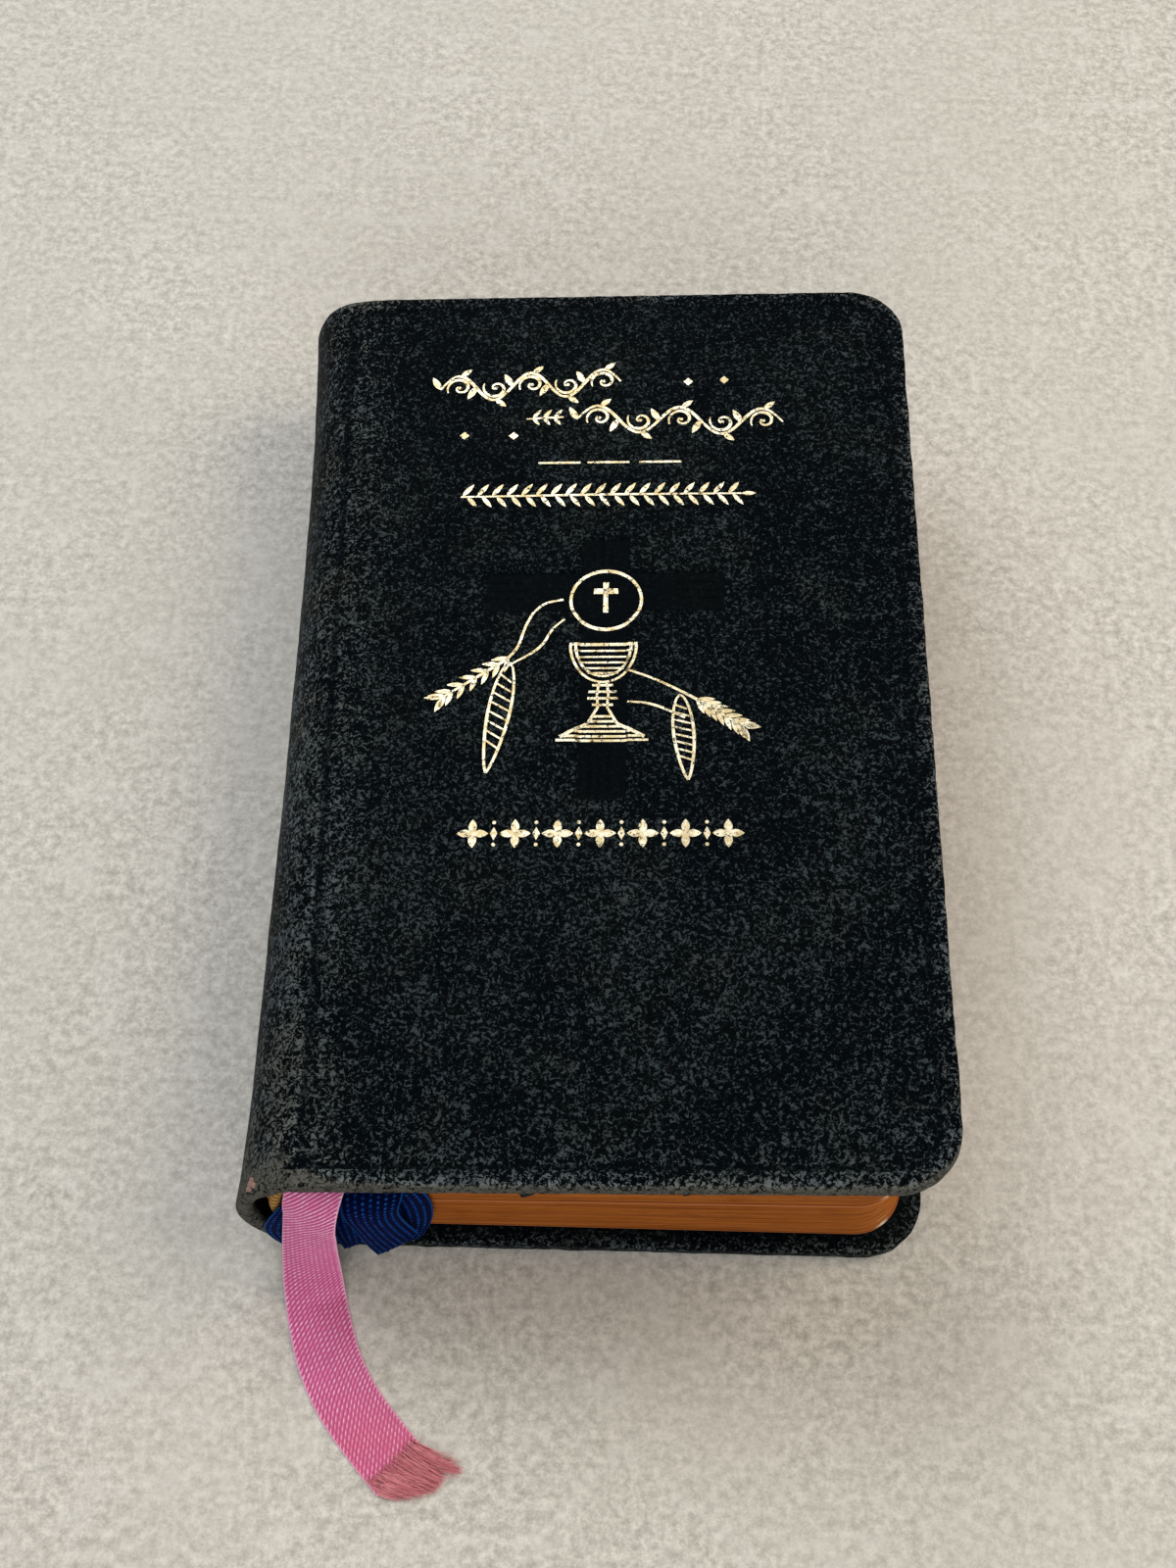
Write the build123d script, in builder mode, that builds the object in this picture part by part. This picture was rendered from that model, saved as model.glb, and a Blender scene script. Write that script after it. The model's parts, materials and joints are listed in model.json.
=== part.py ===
# A pocket prayer book: two leather covers, a sewn block of leaves that opens in the middle,
# a rounded leather spine with a hollow behind it, and two marker ribbons.
#
# Millimetres.  The closed book lies on its back cover: +X is towards the fore-edge, +Y towards
# the head and +Z up.  The origin is under the middle of the book, on the surface it lies on.
import os
from math import atan, cos, degrees, radians, sin, sqrt, tan

from build123d import *

os.makedirs("parts", exist_ok=True)

# ---- driving dimensions: the closed book
cover_length = 108.0        # tail to head
book_width = 68.2           # crown of the spine to the fore-edge
joint_inset = 5.2           # crown of the spine to the line where a cover bends
spine_height = 20.0         # across both covers at the joints
cover_lean = 4.0            # degrees, the leaves have swollen towards the fore-edge
square = 2.0                # how far the covers stand out past the leaves

# ---- covers
cover_thickness = 1.9
cover_corner = 6.3          # rounding of the fore-edge corners, in plan
leather = 0.6               # leather over the board
leather_rim = 1.0           # leather folded round the board's edge
turn_in = 5.0               # leather folded onto the inner face
pastedown_thickness = 0.3
edge_round = 0.45
blind_rule_inset = 1.9      # pressed line round the cover
blind_rule_width = 0.5
blind_depth = 0.15
cross_height, cross_width, cross_bar = 32.3, 25.9, 5.1
cross_foot = -13.5          # Y of the pressed cross's lower end
cross_arm = 11.9            # Y of its arms' middle line

# ---- leaves
sections_in_each_half = 6
block_corner = 5.0
fore_edge_hollow = 1.0      # the fore-edge is slightly concave
back_round = 2.1            # the folded backs of the sections stand out by this in the middle
back_inset = 5.6            # crown of the spine to the backs of the outer sections
leaf = 0.15
leaf_clearance = 0.05
top_gap = 0.6               # flyleaf, ribbon and air above the first section
ribbon_gap = 0.4            # room for the blue ribbon between two sections
gutter_gap = 0.35           # each half stands this far from the middle plane
leaf_back_gap = 2.5         # crown of the spine to the inner ends of the middle leaves

# ---- spine
spine_leather = 1.0
cap_extra = 0.7             # leather turned in at the head and tail of the spine
cap_length = 1.6
joint_clearance = 0.05
tape, mull, lining = 0.3, 0.15, 0.3
tape_width = 7.0
tape_places = (-32.0, 0.0, 32.0)
mull_length, lining_length = 94.0, 100.0
band_length, band_inner, band_outer = 1.3, -0.5, 0.7

# ---- ribbons
ribbon_width = 6.2
ribbon_thickness = 0.3
tail_thickness = 0.4
pink_x = -25.4
blue_x = -21.0

# ---- gold foil
foil = 0.05
foil_line = 0.45

# ---- derived places
crown_x = -book_width / 2
fore_x = book_width / 2
joint_x = crown_x + joint_inset
cover_width = fore_x - joint_x
half_length = cover_length / 2
block_half_length = half_length - square
block_fore_x = fore_x - square - 0.3
lean_slope = tan(radians(cover_lean))


def cover_underside(x):
    """Height of the front cover's inner face."""
    return (spine_height - cover_thickness / cos(radians(cover_lean))
            + lean_slope * (x - joint_x))


block_bottom = cover_thickness + leaf + 2 * leaf_clearance


def block_height(x, share):
    """Height in the leaves: share is 0 at the rear of the block and 1 at its front."""
    return block_bottom + share * (cover_underside(x) - top_gap - block_bottom)


gutter_z = block_height(crown_x, 0.5)
gutter_lean = degrees(atan(lean_slope / 2))

# Planes whose origin is a joint's axis: local X runs towards the fore-edge.
front_joint = Plane(origin=(joint_x, 0, spine_height),
                    x_dir=(cos(radians(cover_lean)), 0, sin(radians(cover_lean))),
                    z_dir=(-sin(radians(cover_lean)), 0, cos(radians(cover_lean))))
back_joint = Plane(origin=(joint_x, 0, 0), x_dir=(1, 0, 0), z_dir=(0, 0, -1))
gutter = Plane(origin=(crown_x, 0, gutter_z),
               x_dir=(cos(radians(gutter_lean)), 0, sin(radians(gutter_lean))),
               z_dir=(-sin(radians(gutter_lean)), 0, cos(radians(gutter_lean))))


def arc_radius(chord, rise):
    return (chord * chord / 4 + rise * rise) / (2 * rise)


spine_radius = arc_radius(spine_height, joint_inset)
spine_centre = (crown_x + spine_radius, spine_height / 2)
block_chord = block_height(joint_x, 1) - block_bottom
back_radius = arc_radius(block_chord, back_round)
back_centre = (crown_x + back_inset - back_round + back_radius, block_bottom + block_chord / 2)


def save(part, name):
    part.label = name
    export_step(part, f"parts/{name}.step")


# ---- covers
def cover_outline(inset, corner):
    """Plan of a cover or of a layer in it, in the open sketch; the joint side stays square."""
    width = cover_width - inset
    with Locations((width / 2, 0)):
        plate = Rectangle(width, cover_length - 2 * inset)
    fillet(plate.vertices().group_by(Axis.X)[-1], corner)


def cover_layer(plane, depth, thickness, inset, corner):
    """A flat layer of a cover; depth is down from the outer face."""
    with BuildPart() as layer:
        with BuildSketch(plane.offset(-depth - thickness)):
            cover_outline(inset, corner)
        extrude(amount=thickness)
    return layer.part


def cover_shell(plane):
    """The leather of one cover, wrapped round the board and turned in on three sides."""
    with BuildPart() as shell:
        with BuildSketch(plane.offset(-cover_thickness)):
            cover_outline(0, cover_corner)
        extrude(amount=cover_thickness)
        outer_face = shell.faces().sort_by(Axis(plane.origin, plane.z_dir))[-1]
        joint_edge, *free_edges = outer_face.edges().sort_by(Axis(plane.origin, plane.x_dir))
        fillet(free_edges, edge_round)
        add(cover_layer(plane, leather, cover_thickness - leather - pastedown_thickness, leather_rim,
                        cover_corner - leather_rim), mode=Mode.SUBTRACT)
        add(cover_layer(plane, cover_thickness - pastedown_thickness, pastedown_thickness, turn_in,
                        cover_corner - leather_rim), mode=Mode.SUBTRACT)
        with BuildSketch(plane.offset(-blind_depth)):
            cover_outline(blind_rule_inset, cover_corner - blind_rule_inset)
            with Locations(((cover_width - blind_rule_inset) / 2, 0)):
                Rectangle(cover_width - blind_rule_inset - 2 * blind_rule_width,
                          cover_length - 2 * blind_rule_inset - 2 * blind_rule_width,
                          mode=Mode.SUBTRACT)
        extrude(amount=2 * blind_depth, mode=Mode.SUBTRACT)
    return shell.part


middle_x = -crown_x - joint_inset       # the book's middle line, in a cover's own plane

with BuildPart() as front_cover_leather:
    add(cover_shell(front_joint))
    with BuildSketch(front_joint.offset(-blind_depth)):
        with Locations((middle_x, cross_foot + cross_height / 2)):
            Rectangle(cross_bar, cross_height)
        with Locations((middle_x, cross_arm)):
            Rectangle(cross_width, cross_bar)
    extrude(amount=2 * blind_depth, mode=Mode.SUBTRACT)
save(front_cover_leather.part, "front_cover_leather")

with BuildPart() as back_cover_leather:
    add(cover_shell(back_joint))
save(back_cover_leather.part, "back_cover_leather")

for side, plane in (("front", front_joint), ("back", back_joint)):
    board_thickness = cover_thickness - leather - pastedown_thickness
    board = cover_layer(plane, leather, board_thickness, leather_rim, cover_corner - leather_rim)
    save(board, f"{side}_board")
    pastedown = cover_layer(plane, cover_thickness - pastedown_thickness, pastedown_thickness, turn_in,
                            cover_corner - leather_rim)
    save(pastedown, f"{side}_pastedown")

# ---- gold foil on the front cover, thin plates on the leather
foil_plane = front_joint


def foil_row(y, places, width, height):
    """Lozenges in a row: places are distances from the book's middle line."""
    for place in places:
        with Locations((middle_x + place, y)):
            Polygon((width / 2, 0), (0, height / 2), (-width / 2, 0), (0, -height / 2))


with BuildPart() as gilt_title_ornament:
    with BuildSketch(foil_plane):
        foil_row(39.6, (-17.0, -12.0, -7.0, -2.0), 3.4, 6.0)
        foil_row(34.9, (3.5, 8.5, 13.5, 18.5), 3.4, 6.0)
    extrude(amount=foil)
save(gilt_title_ornament.part, "gilt_title_ornament")

with BuildPart() as gilt_rules:
    with BuildSketch(foil_plane):
        with Locations((middle_x, 29.2)):
            with GridLocations(5.6, 1, 3, 1):
                Rectangle(4.9, foil_line)
        foil_row(33.2, (-16.2, -10.6), 1.2, 1.2)
        foil_row(40.6, (9.2, 13.3), 1.2, 1.2)
    extrude(amount=foil)
save(gilt_rules.part, "gilt_rules")

with BuildPart() as gilt_line_ornament:
    with BuildSketch(foil_plane):
        foil_row(24.7, [4.0 * place for place in range(-4, 5)], 2.4, 3.0)
    extrude(amount=foil)
save(gilt_line_ornament.part, "gilt_line_ornament")

with BuildPart() as gilt_emblem:
    with BuildSketch(foil_plane):
        with Locations((middle_x, 10.8)):
            Circle(4.0)
            Circle(4.0 - foil_line, mode=Mode.SUBTRACT)
            Rectangle(0.7, 4.0)
            with Locations((0, 0.6)):
                Rectangle(2.5, 0.7)
        with Locations((middle_x, -6.5)):
            Rectangle(9.0, 0.8)
        with Locations((middle_x, -4.8)):
            Rectangle(6.0, 0.8)
        with Locations((middle_x, 0.2)):
            Rectangle(1.0, 9.2)
    extrude(amount=foil)
save(gilt_emblem.part, "gilt_emblem")

with BuildPart() as gilt_sprigs:
    with BuildSketch(foil_plane):
        for side in (-1, 1):
            for step in range(6):
                with Locations((middle_x + side * (4.0 + 2.1 * step), 2.0 - 1.7 * step)):
                    Ellipse(1.1, 0.5, rotation=-side * 40)
    extrude(amount=foil)
save(gilt_sprigs.part, "gilt_sprigs")

with BuildPart() as gilt_foot_ornament:
    with BuildSketch(foil_plane):
        foil_row(-17.4, [3.4 * place for place in range(-3, 4)], 2.0, 2.6)
    extrude(amount=foil)
save(gilt_foot_ornament.part, "gilt_foot_ornament")


# ---- leaves
def back_x(z):
    """X of the folded backs of the leaves at height z."""
    return back_centre[0] - sqrt(back_radius ** 2 - (z - back_centre[1]) ** 2)


def block_section(low_share, high_share, low_lift, high_drop):
    """One folded gathering of leaves, a thin wedge with a rounded fold at the spine."""
    share = (low_share + high_share) / 2
    left = max(back_x(block_height(joint_x, low_share)), back_x(block_height(joint_x, high_share)))
    right = block_fore_x - fore_edge_hollow * (1 - (2 * share - 1) ** 2)
    with BuildPart() as section:
        with BuildSketch(Plane.XZ):
            with BuildLine():
                Polyline((left, block_height(left, low_share) + low_lift),
                         (right, block_height(right, low_share) + low_lift),
                         (right, block_height(right, high_share) - high_drop),
                         (left, block_height(left, high_share) - high_drop), close=True)
            outline = make_face()
            fold = 0.42 * (block_height(left, high_share) - block_height(left, low_share)
                           - low_lift - high_drop)
            fillet(outline.vertices().group_by(Axis.X)[0], fold)
        extrude(amount=block_half_length, both=True)
        fillet(section.edges().filter_by(Axis.Z).group_by(Axis.X)[-1], block_corner)
    return section.part


section_count = 2 * sections_in_each_half
blue_boundary = section_count - 2       # the blue ribbon lies under the second section
for number in range(section_count):     # counted from the rear of the book
    low_lift = high_drop = 0.0
    if number == sections_in_each_half:
        low_lift = gutter_gap
    if number == sections_in_each_half - 1:
        high_drop = gutter_gap
    if number == blue_boundary - 1:
        high_drop = ribbon_gap
    name = f"section_{section_count - number:02d}"
    save(block_section(number / section_count, (number + 1) / section_count, low_lift, high_drop), name)


def loose_leaf(plane, height, start, length):
    """A single leaf: start and length are along the plane's X from a joint's axis."""
    with BuildPart() as sheet:
        with BuildSketch(plane.offset(height)):
            with Locations((start + length / 2, 0)):
                page = Rectangle(length, 2 * block_half_length)
            fillet(page.vertices().group_by(Axis.X)[-1], block_corner)
        extrude(amount=leaf)
    return sheet.part


leaf_depth = -cover_thickness - leaf_clearance - leaf
leaf_start = 0.6
flyleaf_length = block_fore_x - joint_x - leaf_start
save(loose_leaf(front_joint, leaf_depth, leaf_start, flyleaf_length), "front_flyleaf")
save(loose_leaf(back_joint, leaf_depth, leaf_start, flyleaf_length), "rear_flyleaf")

middle_leaf_length = block_fore_x - fore_edge_hollow - crown_x - leaf_back_gap
for number in range(3):
    height = (number - 1) * (leaf + leaf_clearance) - leaf / 2
    save(loose_leaf(gutter, height, leaf_back_gap, middle_leaf_length), f"middle_leaf_{3 - number}")


# ---- spine, each layer in two halves that meet on the gutter's plane
def spine_layer(centre, inner, outer, spans, half, limit_x, clearance=gutter_gap):
    """An arched layer between two radii; half is 1 above the gutter and -1 below it."""
    far = 4 * spine_height
    start_x = crown_x - spine_height
    edge = half * clearance

    def gutter_height(x):
        return gutter_z + tan(radians(gutter_lean)) * (x - crown_x) + edge

    with BuildPart() as layer:
        for start, end in spans:
            with BuildSketch(Plane.XZ.offset(-end)):
                with Locations(centre):
                    Circle(outer)
                    Circle(inner, mode=Mode.SUBTRACT)
                with BuildLine():
                    Polyline((start_x, gutter_height(start_x)), (limit_x, gutter_height(limit_x)),
                             (limit_x, half * far), (start_x, half * far), close=True)
                make_face(mode=Mode.INTERSECT)
            extrude(amount=end - start)
    return layer.part


cover_gap_x = joint_x - joint_clearance
band_gap_x = joint_x - 1.0
leather_inner = spine_radius - spine_leather
tape_inner = back_radius + joint_clearance
mull_inner = tape_inner + tape
lining_inner = mull_inner + mull
cap_spans = ((-half_length, cap_length - half_length), (half_length - cap_length, half_length))
band_spans = ((-block_half_length - band_length, -block_half_length),
              (block_half_length, block_half_length + band_length))

for half, side in ((1, "front"), (-1, "rear")):
    with BuildPart() as spine_half:
        add(spine_layer(spine_centre, leather_inner, spine_radius, ((-half_length, half_length),), half,
                        cover_gap_x, joint_clearance / 2))
        add(spine_layer(spine_centre, leather_inner - cap_extra, leather_inner, cap_spans, half,
                        cover_gap_x))
    save(spine_half.part, f"{side}_spine_leather")
    tapes = [(place - tape_width / 2, place + tape_width / 2) for place in tape_places]
    save(spine_layer(back_centre, tape_inner, mull_inner, tapes, half, cover_gap_x),
         f"{side}_sewing_tapes")
    save(spine_layer(back_centre, mull_inner, lining_inner, ((-mull_length / 2, mull_length / 2),), half,
                     cover_gap_x), f"{side}_mull")
    save(spine_layer(back_centre, lining_inner, lining_inner + lining,
                     ((-lining_length / 2, lining_length / 2),), half, cover_gap_x),
         f"{side}_spine_lining")
    for spans, name in ((band_spans[:1], "tailband"), (band_spans[1:], "headband")):
        save(spine_layer(back_centre, back_radius + band_inner, back_radius + band_outer, spans, half,
                         band_gap_x), f"{side}_{name}")

# ---- ribbons
# The pink ribbon lies on the first section, the blue one under the second.  Each leaves the
# book at the tail.
ribbon_head = block_half_length - 1.0


def inside_ribbon(x, share, lift):
    """The stretch of a ribbon that lies between the leaves."""
    slope = degrees(atan(lean_slope * share))
    base = Plane(origin=(x, 0, block_height(x, share) + lift),
                 x_dir=(cos(radians(slope)), 0, sin(radians(slope))),
                 z_dir=(-sin(radians(slope)), 0, cos(radians(slope))))
    with BuildPart() as ribbon:
        with BuildSketch(base):
            with Locations((0, (ribbon_head - block_half_length) / 2)):
                Rectangle(ribbon_width, ribbon_head + block_half_length)
        extrude(amount=ribbon_thickness)
    return ribbon.part


save(inside_ribbon(pink_x, 1.0, leaf_clearance), "pink_ribbon")
save(inside_ribbon(blue_x, blue_boundary / section_count, leaf_clearance - ribbon_gap), "blue_ribbon")


def corner_radii(points):
    """Radius for each inner corner: 0.45 of the shorter run over the tangent of half the turn."""
    radii = []
    for before, corner, after in zip(points, points[1:], points[2:]):
        run_in = Vector(corner) - Vector(before)
        run_out = Vector(after) - Vector(corner)
        half_turn = radians(run_in.get_angle(run_out)) / 2
        radii.append(0.45 * min(run_in.length, run_out.length) / tan(half_turn))
    return radii


# The pink tail falls over the tail edge and curves away across the table.  Its plan and its
# side view are each a centre line, and the flat ribbon is what both have in common.
tail_exit_z = block_height(pink_x, 1.0) + leaf_clearance + ribbon_thickness / 2
table_z = tail_thickness / 2
pink_plan = [(pink_x, -52.0), (pink_x, -54.6), (-26.9, -59.4), (-25.6, -64.4), (-22.3, -69.9),
             (-16.4, -76.6)]
pink_side = [(-52.0, tail_exit_z), (-55.0, tail_exit_z), (-56.9, 9.0), (-58.9, table_z),
             (-67.0, table_z + 0.1), (-80.0, table_z)]
plan_radii = corner_radii(pink_plan)
side_radii = corner_radii(pink_side)
print("pink ribbon plan radii", [round(radius, 1) for radius in plan_radii])
print("pink ribbon side radii", [round(radius, 1) for radius in side_radii])

with BuildPart() as pink_ribbon_tail:
    with BuildSketch(Plane.XY):
        with BuildLine():
            FilletPolyline(*pink_plan, radius=plan_radii)
        trace(line_width=ribbon_width)
    extrude(amount=spine_height)
    with BuildSketch(Plane.YZ.offset(crown_x)):
        with BuildLine():
            FilletPolyline(*pink_side, radius=side_radii)
        trace(line_width=tail_thickness)
    extrude(amount=book_width, mode=Mode.INTERSECT)
save(pink_ribbon_tail.part, "pink_ribbon_tail")

# The blue tail is short and lies crumpled against the leaves: a folded strip seen from the
# side, as wide as the crumple.
blue_exit_z = block_height(blue_x, blue_boundary / section_count) - ribbon_gap / 2
blue_side = [(-52.0, blue_exit_z), (-54.6, blue_exit_z), (-55.6, 8.0), (-55.2, 2.6)]
blue_fold_left, blue_fold_right = -28.7, -16.6
blue_radii = corner_radii(blue_side)
print("blue ribbon side radii", [round(radius, 1) for radius in blue_radii])

with BuildPart() as blue_ribbon_tail:
    with BuildSketch(Plane.YZ.offset(blue_fold_left)):
        with BuildLine():
            FilletPolyline(*blue_side, radius=blue_radii)
        trace(line_width=2 * tail_thickness)
    extrude(amount=blue_fold_right - blue_fold_left)
save(blue_ribbon_tail.part, "blue_ribbon_tail")
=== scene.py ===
"""A pocket prayer book with worn leather covers, stained page edges and two marker ribbons.

Lengths in this script are millimetres unless a name says otherwise; mesh_piece() turns them
into metres.  The row frame: +X towards the fore-edge, +Y towards the head, +Z up.
"""

import json
import math
import random

import bmesh
import bpy
import numpy as np
from mathutils import Matrix, Vector, noise


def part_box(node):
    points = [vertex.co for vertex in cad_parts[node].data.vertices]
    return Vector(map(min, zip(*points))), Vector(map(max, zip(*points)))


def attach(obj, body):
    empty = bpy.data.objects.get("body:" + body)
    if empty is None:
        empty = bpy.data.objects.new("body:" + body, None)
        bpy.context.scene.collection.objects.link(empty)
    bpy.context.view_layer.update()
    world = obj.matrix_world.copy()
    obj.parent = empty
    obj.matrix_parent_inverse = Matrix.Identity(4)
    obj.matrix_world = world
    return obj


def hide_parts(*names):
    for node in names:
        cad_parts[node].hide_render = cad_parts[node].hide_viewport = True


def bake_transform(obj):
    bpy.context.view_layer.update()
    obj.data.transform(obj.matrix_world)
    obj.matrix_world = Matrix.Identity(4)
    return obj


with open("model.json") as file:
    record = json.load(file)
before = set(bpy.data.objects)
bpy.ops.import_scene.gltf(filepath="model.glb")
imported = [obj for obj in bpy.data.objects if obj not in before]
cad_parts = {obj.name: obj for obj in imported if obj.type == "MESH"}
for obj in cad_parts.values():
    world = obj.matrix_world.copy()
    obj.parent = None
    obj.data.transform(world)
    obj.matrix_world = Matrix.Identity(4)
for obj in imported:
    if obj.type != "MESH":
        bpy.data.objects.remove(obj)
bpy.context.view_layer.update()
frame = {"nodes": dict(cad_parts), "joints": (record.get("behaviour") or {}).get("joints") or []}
nodes = frame["nodes"]
chance = random.Random(7)
grains = np.random.default_rng(11)

# ---- sizes of the book, from the frame where it has them
MM = 0.001
joint_at = {joint["name"]: Vector(joint["pos_m"]) / MM for joint in frame["joints"]}
FRONT_AXIS = joint_at["front_cover_hinge"]
BACK_AXIS = joint_at["back_cover_hinge"]
GUTTER_AXIS = joint_at["gutter_hinge"]
JOINT_X = FRONT_AXIS.x
CROWN_X = GUTTER_AXIS.x
SPINE_HEIGHT = FRONT_AXIS.z
BLOCKS = ("rear_block", "front_block")
HALF_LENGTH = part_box("front_cover_leather")[1].y / MM
FORE_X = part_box("back_cover_leather")[1].x / MM
COVER_WIDTH = FORE_X - JOINT_X
BLOCK_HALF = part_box("section_01")[1].y / MM
COVER_LEAN = math.radians(4.0)
LEAN_COS, LEAN_SIN = math.cos(COVER_LEAN), math.sin(COVER_LEAN)
GUTTER_LEAN = math.atan(math.tan(COVER_LEAN) / 2)
GUTTER_NORMAL = Vector((-math.sin(GUTTER_LEAN), 0, math.cos(GUTTER_LEAN)))
COVER_THICKNESS = 1.9
COVER_CORNER = 6.3
BLOCK_CORNER = 5.0
TURN_IN = 5.0
RIM = 1.0                            # leather folded round the board's edge
MIDDLE_X = -JOINT_X                  # the book's middle line, from the joint
BLOCK_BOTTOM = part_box("section_12")[0].z / MM
BLOCK_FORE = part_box("section_12")[1].x / MM
EDGE_HEIGHT = (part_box("section_01")[1].z / MM - BLOCK_BOTTOM
               - math.tan(COVER_LEAN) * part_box("section_01")[1].x / MM)


# ---- meshes
def mesh_piece(name, points, faces, materials, slots=None, marks=None, sharp=(), smooth=True):
    """A mesh object from points in millimetres.  marks are extra per-point values for materials."""
    points = np.asarray(points, float).reshape(-1, 3)
    mesh = bpy.data.meshes.new(name)
    mesh.from_pydata((points * MM).tolist(), [], faces)
    for material in materials:
        mesh.materials.append(material)
    if slots is not None:
        mesh.polygons.foreach_set("material_index", np.asarray(slots, np.int32))
    mesh.polygons.foreach_set("use_smooth", np.full(len(mesh.polygons), smooth))
    rest = mesh.attributes.new("rest", "FLOAT_VECTOR", "POINT")
    rest.data.foreach_set("vector", points.astype(np.float32).ravel())
    for mark, values in (marks or {}).items():
        layer = mesh.attributes.new(mark, "FLOAT", "POINT")
        layer.data.foreach_set("value", np.asarray(values, np.float32).ravel())
    bm = bmesh.new()
    bm.from_mesh(mesh)
    bmesh.ops.recalc_face_normals(bm, faces=bm.faces)
    wanted = {tuple(sorted(pair)) for pair in sharp}
    if wanted:
        for edge in bm.edges:
            if tuple(sorted(v.index for v in edge.verts)) in wanted:
                edge.smooth = False
    bm.to_mesh(mesh)
    bm.free()
    piece = bpy.data.objects.new(name, mesh)
    bpy.context.scene.collection.objects.link(piece)
    return piece


def grid_faces(rows, columns, offset=0, flip=False):
    """Four-sided faces over a grid whose points start at offset."""
    faces = []
    for i in range(rows - 1):
        for j in range(columns - 1):
            a = offset + i * columns + j
            face = (a, a + 1, a + columns + 1, a + columns)
            faces.append(face[::-1] if flip else face)
    return faces


def rim_faces(rows, columns):
    """Closes the rim between a grid and the same grid one layer below it."""
    below = rows * columns
    rim = ([i * columns for i in range(rows)] + [(rows - 1) * columns + j for j in range(1, columns)]
           + [i * columns + columns - 1 for i in range(rows - 2, -1, -1)] + list(range(columns - 2, 0, -1)))
    return [(a, b, below + b, below + a) for a, b in zip(rim, rim[1:] + rim[:1])]


def tube_faces(rings, sides, base=0):
    """The walls between the rings of a closed tube whose points start at base, and its two ends."""
    faces = []
    for i in range(rings - 1):
        for k in range(sides):
            a, b = base + i * sides + k, base + i * sides + (k + 1) % sides
            faces.append((a, b, b + sides, a + sides))
    last = base + (rings - 1) * sides
    return faces + [tuple(range(base, base + sides))[::-1], tuple(range(last, last + sides))]


def smooth_step(value, low, high):
    """0 up to low and 1 from high on, with a smooth rise between."""
    t = np.clip((value - low) / (high - low), 0.0, 1.0)
    return t * t * (3 - 2 * t)


def lumpy(points, scale, seed=0.0):
    """Smooth noise from -1 to 1 at each point, with lumps about 1 / scale across."""
    shift = Vector((seed, 2.3 * seed, -1.7 * seed))
    return np.array([noise.noise(Vector(p) * scale + shift) for p in points])


def settle(piece, body, slot, *stands_for):
    """Puts a piece on its body and hides the nodes it stands for; slot is not used."""
    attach(piece, body)
    if stands_for:
        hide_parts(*stands_for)


def bend_over(piece, bodies, joint, direction, before, after, slot, *stands_for):
    """Bakes a piece's placement into its mesh and hides the nodes it stands for; the joint and the
    distances before and after its axis are not used.
    """
    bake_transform(piece)
    if stands_for:
        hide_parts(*stands_for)


def over_gutter(piece, reach, slot, *stands_for):
    """Hands a piece to bend_over at the gutter's axis, with the reach to each side of the gutter."""
    bend_over(piece, BLOCKS, GUTTER_AXIS, GUTTER_NORMAL, reach, reach, slot, *stands_for)


# ---- camera
CAMERA_AT = (-4.03, -104.36, 194.21)
CAMERA_RIGHT = Vector((0.99949, 0.01901, 0.02553))
CAMERA_UP = Vector((-0.02883, 0.88064, 0.47291))
FOCAL_LENGTH = 44.0


def make_camera():
    camera = bpy.data.objects.new("camera", bpy.data.cameras.new("camera"))
    right = CAMERA_RIGHT.normalized()
    back = right.cross(CAMERA_UP).normalized()
    up = back.cross(right)
    turn = Matrix((right, up, back)).transposed()
    camera.matrix_world = Matrix.Translation(Vector(CAMERA_AT) * MM) @ turn.to_4x4()
    camera.data.lens = FOCAL_LENGTH
    camera.data.sensor_width = 36.0
    camera.data.clip_start = 0.01
    bpy.context.scene.collection.objects.link(camera)
    bpy.context.scene.camera = camera


make_camera()


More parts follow.
